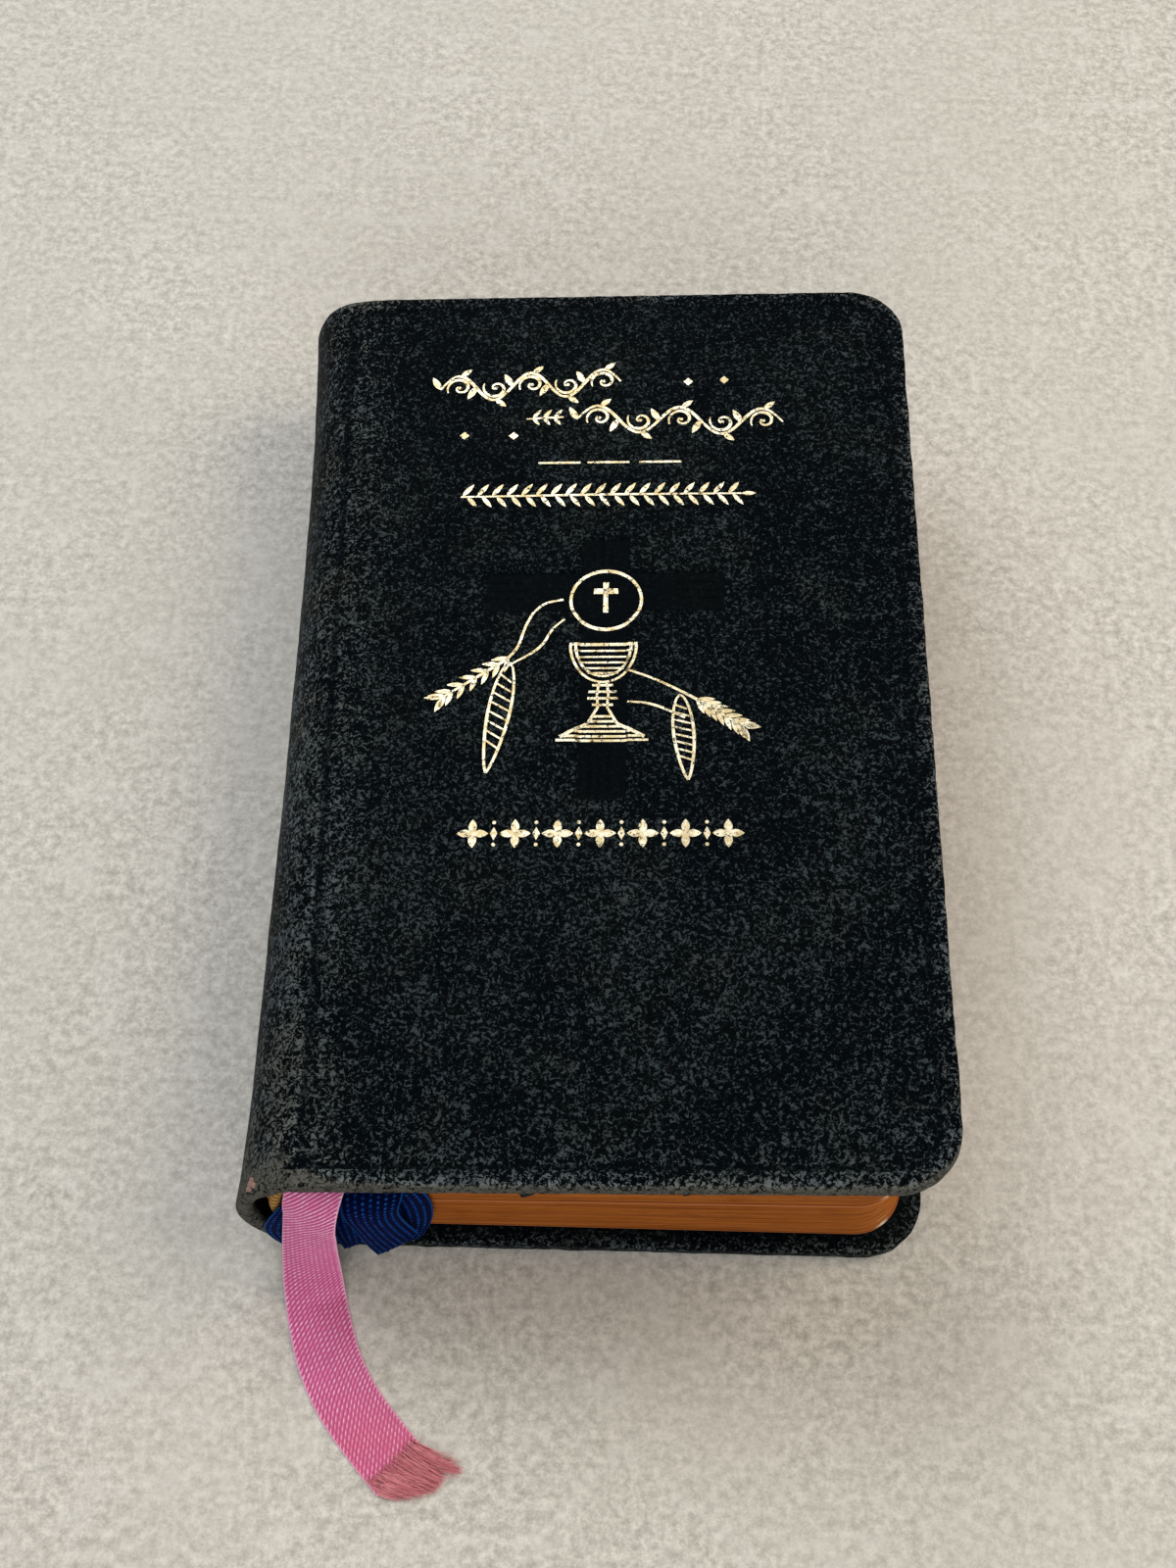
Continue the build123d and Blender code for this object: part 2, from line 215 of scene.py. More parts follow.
# ---- materials
class Nodes:
    """A short way to write a material's node tree."""

    def __init__(self, name, rest):
        self.material = bpy.data.materials.new(name)
        self.material.use_nodes = True
        self.tree = self.material.node_tree
        self.shader = self.tree.nodes["Principled BSDF"]
        if rest:
            place = self.node("ShaderNodeAttribute", attribute_name="rest").outputs["Vector"]
        else:
            place = self.node("ShaderNodeTexCoord").outputs["Object"]
            place = self.vector("SCALE", place, scale=1 / MM)
        self.place = place

    def node(self, kind, inputs=None, **settings):
        made = self.tree.nodes.new(kind)
        for name, value in settings.items():
            setattr(made, name, value)
        for key, value in (inputs or {}).items():
            self.feed(made.inputs[key], value)
        return made

    def feed(self, socket, value):
        if isinstance(value, bpy.types.NodeSocket):
            self.tree.links.new(value, socket)
        else:
            socket.default_value = value

    def math(self, operation, a, b=0.0, c=0.0, clamp=False):
        made = self.node("ShaderNodeMath", {0: a, 1: b, 2: c}, operation=operation, use_clamp=clamp)
        return made.outputs[0]

    def times(self, a, b, clamp=False):
        return self.math("MULTIPLY", a, b, clamp=clamp)

    def plus(self, a, b, clamp=False):
        return self.math("ADD", a, b, clamp=clamp)

    def larger(self, a, b):
        return self.math("MAXIMUM", a, b)

    def parts(self, vector=None):
        """The X, Y and Z of a vector, or of the place on the object."""
        return self.node("ShaderNodeSeparateXYZ", {"Vector": vector or self.place}).outputs

    def vector(self, operation, a, b=(0, 0, 0), scale=1.0):
        made = self.node("ShaderNodeVectorMath", {0: a}, operation=operation)
        if operation == "SCALE":
            self.feed(made.inputs["Scale"], scale)
        else:
            self.feed(made.inputs[1], b)
        return made.outputs["Value" if operation in ("LENGTH", "DOT_PRODUCT") else "Vector"]

    def noise(self, scale, detail=2.0, roughness=0.5, place=None):
        made = self.node("ShaderNodeTexNoise", {"Vector": place or self.place, "Scale": scale,
                                                "Detail": detail, "Roughness": roughness})
        return made.outputs["Fac"]

    def cells(self, scale, place=None, feature="F1"):
        made = self.node("ShaderNodeTexVoronoi", {"Vector": place or self.place, "Scale": scale},
                         feature=feature)
        return made.outputs["Distance"]

    def mark(self, name):
        return self.node("ShaderNodeAttribute", attribute_name=name).outputs["Fac"]

    def ramp(self, value, low, high, start=0.0, end=1.0):
        """value from low to high becomes start to end, smoothly and held outside."""
        made = self.node("ShaderNodeMapRange",
                         {"Value": value, "From Min": low, "From Max": high, "To Min": start,
                          "To Max": end},
                         interpolation_type="SMOOTHSTEP")
        return made.outputs["Result"]

    def mix(self, share, a, b):
        made = self.node("ShaderNodeMix", data_type="RGBA")
        usable = [socket for socket in made.inputs if socket.enabled]
        for socket, value in zip(usable, (share, a, b)):
            self.feed(socket, (*value, 1.0) if isinstance(value, tuple) else value)
        return next(socket for socket in made.outputs if socket.enabled)

    def bump(self, height, distance, strength):
        inputs = {"Height": height, "Distance": distance * MM, "Strength": strength}
        return self.node("ShaderNodeBump", inputs).outputs["Normal"]

    def finish(self, color, roughness, normal=None, metallic=None):
        self.feed(self.shader.inputs["Base Color"],
                  color if isinstance(color, bpy.types.NodeSocket) else (*color, 1.0))
        self.feed(self.shader.inputs["Roughness"], roughness)
        if normal is not None:
            self.feed(self.shader.inputs["Normal"], normal)
        if metallic is not None:
            self.feed(self.shader.inputs["Metallic"], metallic)
        return self.material


def leather_material():
    """Black grained leather, scuffed to grey on the tips of the grain and along the edges."""
    n = Nodes("black_leather", rest=True)
    wear, pressed_or_painted_shade = n.mark("wear"), n.mark("pressed_or_painted_shade")
    wander = n.node("ShaderNodeTexNoise", {"Vector": n.place, "Scale": 1.3, "Detail": 1.0}).outputs["Color"]
    bent = n.vector("ADD", n.place, n.vector("SCALE", wander, scale=1.1))
    pebble = n.cells(2.3, bent)
    creases = n.cells(1.6, bent, feature="DISTANCE_TO_EDGE")
    speckle = n.noise(2.5, 2.0, 0.62, bent)
    fine = n.noise(7.5, 1.0, 0.6)
    broad = n.noise(0.075, 3.0, 0.55)
    grain = n.plus(n.times(speckle, 0.74), n.times(fine, 0.26))
    worn = n.times(wear, n.ramp(n.noise(0.55, 4.0, 0.6), 0.34, 0.60, 0.45, 1.0), clamp=True)
    along = n.parts()["Y"]
    # The ramp along the length is painted shade: fewer grey flecks, and so darker leather, towards the
    # head.
    broad_shift = n.plus(n.ramp(broad, 0.36, 0.64, -0.018, 0.014), n.ramp(along, -25.0, 45.0, 0.0, -0.014))
    shift = n.plus(broad_shift, n.times(worn, 0.058))
    clumps = n.ramp(n.noise(0.75, 3.0, 0.6), 0.36, 0.62, -0.022, 0.018)
    fleck = n.ramp(n.plus(n.plus(grain, shift), clumps), 0.516, 0.618)
    # Grey flecks fade where the leather is pressed in, and on the turned-in leather and inner faces, where
    # the same mark paints shade.
    fleck = n.times(fleck, n.math("MULTIPLY_ADD", pressed_or_painted_shade, -0.92, 1.0))
    ink = n.mix(n.ramp(broad, 0.4, 0.6), (0.0006, 0.0018, 0.0030), (0.0012, 0.0022, 0.0026))
    cool = n.mix(n.ramp(n.noise(0.20, 2.0), 0.46, 0.66), (0.036, 0.049, 0.056), (0.037, 0.045, 0.046))
    rubbed = n.mix(n.ramp(n.noise(0.12, 2.0), 0.42, 0.62), (0.152, 0.178, 0.190), (0.155, 0.162, 0.145))
    color = n.mix(fleck, ink, n.mix(worn, cool, rubbed))
    scraped = n.times(n.ramp(wear, 0.80, 1.15), n.ramp(grain, 0.36, 0.56))
    color = n.mix(scraped, color, (0.098, 0.098, 0.084))
    height = n.math("SUBTRACT", n.ramp(creases, 0.0, 0.16), n.times(pebble, 0.5))
    height = n.plus(height, n.times(grain, 0.9))
    height = n.times(height, n.math("MULTIPLY_ADD", pressed_or_painted_shade, -0.8, 1.0))
    n.shader.inputs["Specular IOR Level"].default_value = 0.015
    return n.finish(color, n.ramp(fleck, 0.0, 1.0, 0.50, 0.75), n.bump(height, 0.05, 0.8))


STAIN = (0.50, 0.150, 0.030)


def paper_material(name, color, rest=False, stain=True, ruled=False):
    """Old book paper; a leaf's thin edge takes the copper-orange stain."""
    n = Nodes(name, rest)
    fibre = n.noise(5.0, 3.0, 0.6)
    foxing = n.ramp(n.noise(0.22, 3.0, 0.6), 0.58, 0.75)
    tone = n.mix(n.ramp(n.noise(0.05, 2.0), 0.35, 0.65), color, tuple(c * 0.93 for c in color))
    tone = n.mix(n.times(foxing, 0.22), tone, (0.55, 0.40, 0.22))
    tone = n.mix(n.times(fibre, 0.10), tone, (0.55, 0.49, 0.38))
    from_middle = n.math("ABSOLUTE", n.parts()["Y"])
    x = n.parts()["X"]
    if ruled:
        frame_y, left, right, line = 45.0, CROWN_X + 11.0, FORE_X - 9.5, 0.16
        inside_y = n.math("LESS_THAN", from_middle, frame_y + line)
        inside_x = n.times(n.math("GREATER_THAN", x, left - line), n.math("LESS_THAN", x, right + line))
        on_y = n.math("COMPARE", from_middle, frame_y, line)
        on_x = n.plus(n.math("COMPARE", x, left, line), n.math("COMPARE", x, right, line), clamp=True)
        rule = n.plus(n.times(on_y, inside_x), n.times(on_x, inside_y), clamp=True)
        tone = n.mix(n.times(rule, 0.75), tone, (0.36, 0.05, 0.03))
    margin = n.larger(n.ramp(from_middle, BLOCK_HALF - 2.2, BLOCK_HALF),
                      n.ramp(x, FORE_X - 5.0, FORE_X - 2.2))
    tone = n.mix(n.times(margin, 0.35), tone, (0.62, 0.42, 0.22))
    bleed = n.larger(n.ramp(from_middle, BLOCK_HALF - 1.2, BLOCK_HALF - 0.5),
                     n.ramp(x, BLOCK_FORE - 1.8, BLOCK_FORE - 1.1))
    tone = n.mix(bleed, tone, (0.30, 0.080, 0.010))
    if stain:
        normal = n.node("ShaderNodeTexCoord").outputs["Normal"]
        upright = n.math("ABSOLUTE", n.parts(normal)["Z"])
        tone = n.mix(n.ramp(upright, 0.3, 0.7, 1.0, 0.0), tone, STAIN)
    return n.finish(tone, 0.85, n.bump(fibre, 0.02, 0.5))


def stained_edge_material():
    """The cut edges of many thin leaves, stained copper-orange, with darker lines between them."""
    n = Nodes("stained_edges", rest=True)
    parts = n.parts()
    share = n.math("DIVIDE", n.math("SUBTRACT", parts["Z"], BLOCK_BOTTOM),
                   n.math("MULTIPLY_ADD", parts["X"], math.tan(COVER_LEAN), EDGE_HEIGHT))
    along = n.times(n.plus(parts["X"], parts["Y"]), 0.030)

    def streaks(scale, detail):
        sheet = n.node("ShaderNodeCombineXYZ", {"X": along, "Z": n.times(share, scale)})
        return n.noise(1.0, detail, 0.62, sheet.outputs["Vector"])

    leaves, bands = streaks(95.0, 3.0), streaks(15.0, 2.0)
    color = n.mix(n.ramp(leaves, 0.34, 0.66), (0.225, 0.054, 0.0040), (0.42, 0.130, 0.015))
    color = n.mix(n.ramp(bands, 0.50, 0.68, 0.0, 0.5), color, (0.40, 0.130, 0.028))
    color = n.mix(n.ramp(n.noise(0.25, 3.0, 0.6), 0.50, 0.75, 0.0, 0.45), color, (0.20, 0.048, 0.006))
    rear = n.times(n.ramp(share, 0.04, 0.20, 0.4, 0.0), n.ramp(leaves, 0.42, 0.6))
    color = n.mix(rear, color, (0.50, 0.17, 0.045))
    n.shader.inputs["Specular IOR Level"].default_value = 0.12
    return n.finish(color, n.ramp(leaves, 0.3, 0.7, 0.5, 0.75), n.bump(leaves, 0.05, 0.8))


def gold_material():
    """Stamping foil: bright where it is whole, broken by the grain where it has rubbed away."""
    n = Nodes("gold_foil", rest=True)
    breaks = n.noise(2.2, 4.0, 0.7)
    pits = n.noise(7.0, 2.0, 0.6)
    rubbed = n.ramp(n.plus(n.times(breaks, 0.7), n.times(pits, 0.3)), 0.530, 0.60)
    shade = n.mix(n.ramp(n.noise(0.9, 3.0, 0.6), 0.35, 0.65), (0.54, 0.42, 0.22), (0.83, 0.76, 0.57))
    color = n.mix(rubbed, shade, (0.050, 0.042, 0.024))
    metal = n.ramp(rubbed, 0.0, 1.0, 1.0, 0.3)
    rough = n.ramp(rubbed, 0.0, 1.0, 0.42, 0.7)
    return n.finish(color, rough, n.bump(n.plus(pits, breaks), 0.02, 0.6), metal)


def ribbon_material(name, thread, shade, light, aged, rough, sheen):
    """Woven satin ribbon.  twill marks the raised threads, selvedge the two woven edges; towards
    its cut end the thread has aged to another colour.  shade is painted shade in the hollows between
    the threads, light is painted highlights on the raised threads, and the woven edges are mixed a
    little towards light."""
    n = Nodes(name, rest=True)
    twill, selvedge = n.mark("twill"), n.mark("selvedge")
    old = n.ramp(n.parts()["Y"], -HALF_LENGTH - 21.0, -HALF_LENGTH - 11.0, 1.0, 0.0)
    thread = n.mix(old, thread, aged)
    # painted shade: the hollows between the raised threads take the shade colour
    color = n.mix(n.ramp(twill, 0.10, 0.80), shade, thread)
    color = n.mix(n.ramp(n.noise(0.30, 3.0), 0.40, 0.70, 0.0, 0.35), color, shade)
    # painted highlights on the tips of the raised threads, fewer towards the aged end
    tips = n.times(n.ramp(twill, 0.55, 0.90), n.ramp(n.noise(1.6, 2.0), 0.36, 0.62, 0.10, 1.0))
    tips = n.times(tips, n.math("MULTIPLY_ADD", old, -0.45, 1.0))
    color = n.mix(tips, color, light)
    color = n.mix(n.times(selvedge, 0.4), color, light)
    n.shader.inputs["Sheen Weight"].default_value = sheen
    n.shader.inputs["Sheen Roughness"].default_value = 0.35
    n.shader.inputs["Specular IOR Level"].default_value = 0.2 if sheen else 0.02
    return n.finish(color, rough, n.bump(n.noise(9.0, 2.0), 0.02, 0.5))


def thread_material(name, dark, light):
    """Loose or wound thread; tint is each thread's own shade from 0 to 1."""
    n = Nodes(name, rest=True)
    fibres = n.noise(5.0, 2.0, 0.6)
    share = n.plus(n.times(n.mark("tint"), 0.8), n.times(fibres, 0.3), clamp=True)
    n.shader.inputs["Specular IOR Level"].default_value = 0.15
    return n.finish(n.mix(share, dark, light), 0.8, n.bump(fibres, 0.02, 0.5))


def fibre_material(name, color, dark, scale, rest=False, relief=0.04):
    """Cloth, board or thread: fibres of two tones."""
    n = Nodes(name, rest)
    mottled = n.noise(scale, 4.0, 0.65)
    return n.finish(n.mix(n.ramp(mottled, 0.35, 0.65), dark, color), 0.88, n.bump(mottled, relief, 0.7))


def linen_material():
    """Open-weave linen: crossing threads with dark gaps."""
    n = Nodes("linen", rest=False)
    warp, weft = (n.math("SINE", n.times(n.parts()[axis], 9.0)) for axis in "YZ")
    weave = n.larger(warp, weft)
    color = n.mix(n.ramp(weave, -0.2, 0.7), (0.20, 0.16, 0.10), (0.70, 0.63, 0.48))
    return n.finish(color, 0.9, n.bump(weave, 0.05, 0.8))


LEATHER = leather_material()
EDGES = stained_edge_material()
PAPER = (0.80, 0.73, 0.58)
PAGE = paper_material("page_paper", PAPER, ruled=True)
SECTION_PAGE = paper_material("section_paper", PAPER, rest=True, stain=False, ruled=True)
ENDPAPER = paper_material("endpaper", (0.74, 0.69, 0.58))
GOLD = gold_material()
PINK = ribbon_material("pink_satin", (0.95, 0.27, 0.55), (0.52, 0.090, 0.240), (1.0, 0.72, 0.93),
                       (0.84, 0.22, 0.29), 0.38, 0.15)
BLUE = ribbon_material("blue_satin", (0.0004, 0.014, 0.120), (0.0002, 0.002, 0.022), (0.010, 0.110, 0.42),
                       (0.0004, 0.014, 0.120), 0.55, 0.0)
BOARD = fibre_material("pulp_board", (0.46, 0.37, 0.28), (0.30, 0.23, 0.17), 2.5)
KRAFT = fibre_material("kraft_paper", (0.42, 0.27, 0.15), (0.30, 0.18, 0.09), 3.0)
LINEN = linen_material()
BAND = thread_material("band_thread", (0.20, 0.085, 0.025), (0.46, 0.27, 0.075))
PINK_THREAD = thread_material("pink_thread", (0.50, 0.120, 0.150), (0.88, 0.38, 0.42))
BARE = fibre_material("bare_leather", (0.40, 0.24, 0.21), (0.16, 0.09, 0.07), 3.5, rest=True, relief=0.08)


# ---- ribbons: the pink one's free tail first
RIBBON_WIDTH = 6.2
THREAD_PITCH, RIB_PITCH, SELVEDGE, SELVEDGE_PITCH = 0.52, 0.775, 0.16, 0.42
PINK_X, BLUE_X = -25.4, -21.0
TAIL_THICKNESS = 0.4
PINK_EXIT_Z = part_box("pink_ribbon_tail")[1].z / MM - TAIL_THICKNESS / 2
PINK_ROUTE = [(-25.7, -52.0, PINK_EXIT_Z), (-26.6, -54.9, PINK_EXIT_Z), (-27.3, -56.6, 9.5),
              (-27.4, -58.6, 0.3), (-26.5, -62.2, 0.3), (-25.0, -66.6, 0.3), (-21.9, -71.3, 0.3),
              (-17.5, -75.9, 0.3)]


def spline_points(route, name):
    """Points along the NURBS spline whose control points are the route's, in millimetres."""
    curve = bpy.data.curves.new(name, "CURVE")
    curve.dimensions = "3D"
    curve.resolution_u = 60
    spline = curve.splines.new("NURBS")
    spline.points.add(len(route) - 1)
    for point, at in zip(spline.points, route):
        point.co = (*(value * MM for value in at), 1.0)
    spline.order_u = 3
    spline.use_endpoint_u = True
    holder = bpy.data.objects.new(name, curve)
    bpy.context.scene.collection.objects.link(holder)
    mesh = bpy.data.meshes.new_from_object(holder)
    points = np.array([vertex.co for vertex in mesh.vertices]) / MM
    bpy.data.objects.remove(holder)
    return points


def evenly(points, spacing):
    """The same line with its points spaced evenly, and the distance along it to each."""
    lengths = np.concatenate([[0], np.cumsum(np.linalg.norm(np.diff(points, axis=0), axis=1))])
    along = np.linspace(0, lengths[-1], max(2, round(lengths[-1] / spacing) + 1))
    return np.stack([np.interp(along, lengths, points[:, k]) for k in range(3)], axis=1), along


def unit(vectors):
    return vectors / np.maximum(np.linalg.norm(vectors, axis=-1, keepdims=True), 1e-9)


def twill(along, across):
    """Height from 0 to 1 of a ribbon's raised threads: slanting lines at the top, which break up
    into short dashes in columns further down."""
    row = (along + across) / THREAD_PITCH + 0.10 * np.sin(along * 0.9)
    row = row + 0.08 * np.sin(across * 2.3 + along * 0.37)
    thread = 0.5 + 0.5 * np.sin(2 * np.pi * row)
    hollow = np.abs(np.sin(np.pi * across / THREAD_PITCH)) ** 0.6
    broken = 0.30 + 0.55 * smooth_step(along, 5, 13)
    return thread ** 1.4 * (1 - broken + broken * hollow)


def ribs(along, across):
    """Height from 0 to 1 of lengthwise ribs crossed by fine threads."""
    rib = 0.5 + 0.5 * np.cos(2 * np.pi * across / RIB_PITCH)
    offset = 0.5 * np.floor(across / RIB_PITCH + 0.5)
    stitch = 0.5 + 0.5 * np.cos(2 * np.pi * (along / THREAD_PITCH + offset))
    return rib * (0.30 + 0.70 * stitch)


def ribbon_piece(name, line, sides, along, width, weave, relief, material, columns,
                 thickness=0.22, curl=None, narrow=None):
    """A woven ribbon along a line.  curl lifts its two edges, narrow is its share of the width."""
    sides = unit(sides)
    ups = unit(np.cross(sides, np.gradient(line, axis=0)))
    narrow = np.ones(len(line)) if narrow is None else narrow
    across = np.linspace(-width / 2, width / 2, columns)
    curl = np.zeros(len(line)) if curl is None else curl
    grid_along, grid_across = np.meshgrid(along, across, indexing="ij")
    height = weave(grid_along, grid_across)
    lift = curl[:, None] * (2 * grid_across / width) ** 2
    edge = np.abs(grid_across) > width / 2 - SELVEDGE
    height = np.where(edge, 0.5 + 0.3 * np.cos(2 * np.pi * grid_along / SELVEDGE_PITCH), height)
    layers = []
    for sign in (1, -1):
        rise = lift + sign * (thickness / 2 + relief * (height - 0.5))
        rise = np.where(np.abs(grid_across) > width / 2 - 1e-6, lift + sign * thickness * 0.22, rise)
        layers.append(line[:, None] + (sides * narrow[:, None])[:, None] * grid_across[..., None]
                      + ups[:, None] * rise[..., None])
    rows = len(line)
    points = np.concatenate([layer.reshape(-1, 3) for layer in layers])
    below = rows * columns
    faces = grid_faces(rows, columns) + grid_faces(rows, columns, below, flip=True)
    faces += rim_faces(rows, columns)
    marks = {"twill": np.tile(height.ravel(), 2), "selvedge": np.tile(edge.astype(float).ravel(), 2)}
    return mesh_piece(name, points, faces, [material], marks=marks)


def plan_sides(line):
    """For each point the level direction across the line, from its left edge to its right."""
    ahead = np.gradient(line, axis=0)
    ahead[:, 2] = 0
    return unit(np.stack([-ahead[:, 1], ahead[:, 0], np.zeros(len(line))], axis=1))


pink_line, pink_along = evenly(spline_points(PINK_ROUTE, "pink_route"), 0.10)
pink_curl = 0.12 + 0.30 * smooth_step(pink_along, 3, 9) * (1 - smooth_step(pink_along, 14, 24))
pink_curl += 0.12 * np.abs(np.sin(pink_along / 7.0)) * smooth_step(pink_along, 8, 18)
pink_narrow = 0.89 + 0.11 * smooth_step(pink_along, 8, 26)
pink_tail = ribbon_piece("pink_ribbon_tail_weave", pink_line, plan_sides(pink_line), pink_along,
                         RIBBON_WIDTH, twill, 0.13, PINK, 72, curl=pink_curl, narrow=pink_narrow)


def strands(name, starts, directions, lengths, radii, material, bends):
    """Loose threads: each starts at a point, runs on and bends aside on its way."""
    points, faces, tint = [], [], []
    steps, sides, floor_height, up = 10, 4, 0.1, np.array((0, 0, 1.0))
    for start, ahead, length, radius, bend in zip(starts, directions, lengths, radii, bends):
        ahead = np.array(ahead) / np.linalg.norm(ahead)
        aside = np.cross(ahead, up)
        base = len(points)
        tint += [chance.random()] * (steps * sides)
        for i in range(steps):
            t = i / (steps - 1)
            wave = bend[0] * t * t + bend[1] * math.sin(bend[2] + 5.0 * t) * t
            centre = np.array(start) + ahead * length * t + aside * length * wave
            centre[2] = max(centre[2] + bend[3] * length * math.sin(math.pi * min(1.0, 1.15 * t)),
                            floor_height)
            size = radius * (1.0 - 0.55 * t)
            for k in range(sides):
                turn = 2 * math.pi * k / sides
                points.append(centre + size * (aside * math.cos(turn) + up * math.sin(turn)))
        faces += tube_faces(steps, sides, base)
    return mesh_piece(name, points, faces, [material], marks={"tint": tint})


def fray_at(line, width, count):
    """Threads of the ribbon's cut end, in a broad lock and a longer one at its right."""
    ahead = unit((line[-1] - line[-12])[None])[0]
    side = plan_sides(line)[-1]
    starts, directions, lengths, radii, bends = [], [], [], [], []
    for _ in range(count):
        share = chance.uniform(-1, 1)
        right_lock = share > 0.70
        start = line[-1] + side * share * width * 0.48 - ahead * (0.2 + 1.7 * chance.random() ** 2)
        start[2] = chance.uniform(0.12, 0.60) if share > -0.8 else chance.uniform(0.12, 0.35)
        if right_lock:
            reach, splay, bend = 4.4, 0.27, -0.14
        else:
            reach = 3.9 - 2.0 * max(0.0, -share) ** 1.5 - 0.4 * share
            splay, bend = 0.10 + 0.10 * (1 - share), -0.10 - 0.12 * (1 - share)
        starts.append(start)
        directions.append(ahead + side * (splay + chance.gauss(0, 0.05)))
        lengths.append(reach * (1 - 0.45 * chance.random() ** 2.5))
        radii.append(chance.uniform(0.028, 0.048))
        bends.append((bend + chance.gauss(0.0, 0.04), chance.gauss(0.0, 0.02), chance.uniform(0, 6.3),
                      chance.uniform(0.0, 0.07)))
    return strands("pink_ribbon_fray", starts, directions, lengths, radii, PINK_THREAD, bends)


pink_fray = fray_at(pink_line, RIBBON_WIDTH, 900)
settle(pink_tail, "front_block", "pink_satin", "pink_ribbon_tail")
settle(pink_fray, "front_block", "pink_satin")


# ---- the outer surface, round the spine from the back cover to the front cover.  s runs along
# it from the crown of the spine and is negative on the back cover's side.
SPINE_RISE = JOINT_X - CROWN_X
SPINE_RADIUS = (SPINE_HEIGHT ** 2 / 4 + SPINE_RISE ** 2) / (2 * SPINE_RISE)
SPINE_CENTRE_X = CROWN_X + SPINE_RADIUS
SHOULDER = SPINE_RADIUS * math.asin(SPINE_HEIGHT / 2 / SPINE_RADIUS)
SHOULDER_SOFTNESS = 1.8
JOINT_BEND = (1.8, 2.2)             # how far before and after a cover's axis, given to bend_over
SPINE_BEND = 6.0                    # how far to each side of the gutter, given to over_gutter
SEAM = SHOULDER - 2.5               # where the spine's leather meets a cover's
FORE = SHOULDER + COVER_WIDTH
OFFSETS = np.linspace(-3, 3, 25)
WEIGHTS = np.exp(-OFFSETS ** 2 / 2) / np.exp(-OFFSETS ** 2 / 2).sum()


def sharp_profile(s):
    """Row x and z of the outer surface before its shoulders are rounded."""
    angle = np.clip(s, -SHOULDER, SHOULDER) / SPINE_RADIUS
    front, back = np.maximum(s - SHOULDER, 0), np.maximum(-s - SHOULDER, 0)
    return np.stack([SPINE_CENTRE_X - SPINE_RADIUS * np.cos(angle) + front * LEAN_COS + back,
                     SPINE_HEIGHT / 2 + SPINE_RADIUS * np.sin(angle) + front * LEAN_SIN], axis=-1)


def profile(s):
    """Row x and z of the leather's outer surface, with both shoulders rounded."""
    s = np.asarray(s, float)
    return sum(weight * sharp_profile(s + SHOULDER_SOFTNESS * offset)
               for offset, weight in zip(OFFSETS, WEIGHTS))


def place(s, depth, y):
    """Row position at a depth under the outer surface."""
    s, depth, y = np.broadcast_arrays(*(np.asarray(value, float) for value in (s, depth, y)))
    at, ahead = profile(s), unit(profile(s + 0.02) - profile(s - 0.02))
    return np.stack([at[..., 0] + ahead[..., 1] * depth, y, at[..., 1] - ahead[..., 0] * depth], axis=-1)


def stretched(s, y):
    """How far the leather stands off the spine where use has pulled it out, mostly at the head."""
    head = 1.9 * np.exp((y - HALF_LENGTH) / 22.0) * smooth_step(s, 2 - SEAM, 4) \
        * (1 - smooth_step(s, SHOULDER - 5, SHOULDER + 2))
    return head + 0.55 * np.exp(-(y + HALF_LENGTH) / 5.0) * (1 - smooth_step(np.abs(s), SEAM - 3, SEAM))


def on_leather(s, depth, y):
    """Row position at a depth under the leather where use has shaped it."""
    s, depth, y = np.broadcast_arrays(*(np.asarray(value, float) for value in (s, depth, y)))
    return place(s, depth - stretched(s, y), y)


def band(value, low, high, soft=0.12):
    """1 between low and high and 0 outside, with soft ends."""
    return smooth_step(value, low - soft, low + soft) * (1 - smooth_step(value, high - soft, high + soft))


def inset_from_edge(u, y):
    """Distance in from the head, tail or fore-edge of a cover, round its two corners."""
    from_fore, from_end = COVER_WIDTH - u, HALF_LENGTH - np.abs(y)
    a, b = np.maximum(COVER_CORNER - from_fore, 0), np.maximum(COVER_CORNER - from_end, 0)
    return np.where((a > 0) & (b > 0), COVER_CORNER - np.hypot(a, b), np.minimum(from_fore, from_end))


CROSS_HALF_BAR, CROSS_HALF_WIDTH = 2.55, 12.95
CROSS_FOOT, CROSS_HEAD, CROSS_ARM = -13.5, 18.8, 11.9
RULE_INSET, RULE_WIDTH = 1.9, 0.5


def cross_mask(u, y):
    """1 on the cross pressed into the front cover; u runs from the joint to the fore-edge."""
    x, above_arm = u - MIDDLE_X, y - CROSS_ARM
    upright = band(x, -CROSS_HALF_BAR, CROSS_HALF_BAR) * band(y, CROSS_FOOT, CROSS_HEAD)
    arms = band(x, -CROSS_HALF_WIDTH, CROSS_HALF_WIDTH) * band(above_arm, -CROSS_HALF_BAR, CROSS_HALF_BAR)
    return np.maximum(upright, arms)


def ruled_ends(u, y):
    """The lines pressed into the four ends of the cross."""
    x, above_arm, lines = u - MIDDLE_X, y - CROSS_ARM, 0.0
    for along, across, low, high in ((y, x, CROSS_FOOT + 0.5, CROSS_FOOT + 5.6),
                                     (y, x, CROSS_HEAD - 3.6, CROSS_HEAD - 0.5),
                                     (x, above_arm, 0.5 - CROSS_HALF_WIDTH, 5.0 - CROSS_HALF_WIDTH),
                                     (x, above_arm, CROSS_HALF_WIDTH - 5.0, CROSS_HALF_WIDTH - 0.5)):
        comb = smooth_step(np.cos(2 * np.pi * across / 1.0), 0.1, 0.9) * band(np.abs(across), -1, 1.75, 0.1)
        lines = np.maximum(lines, comb * band(along, low, high, 0.1))
    return lines


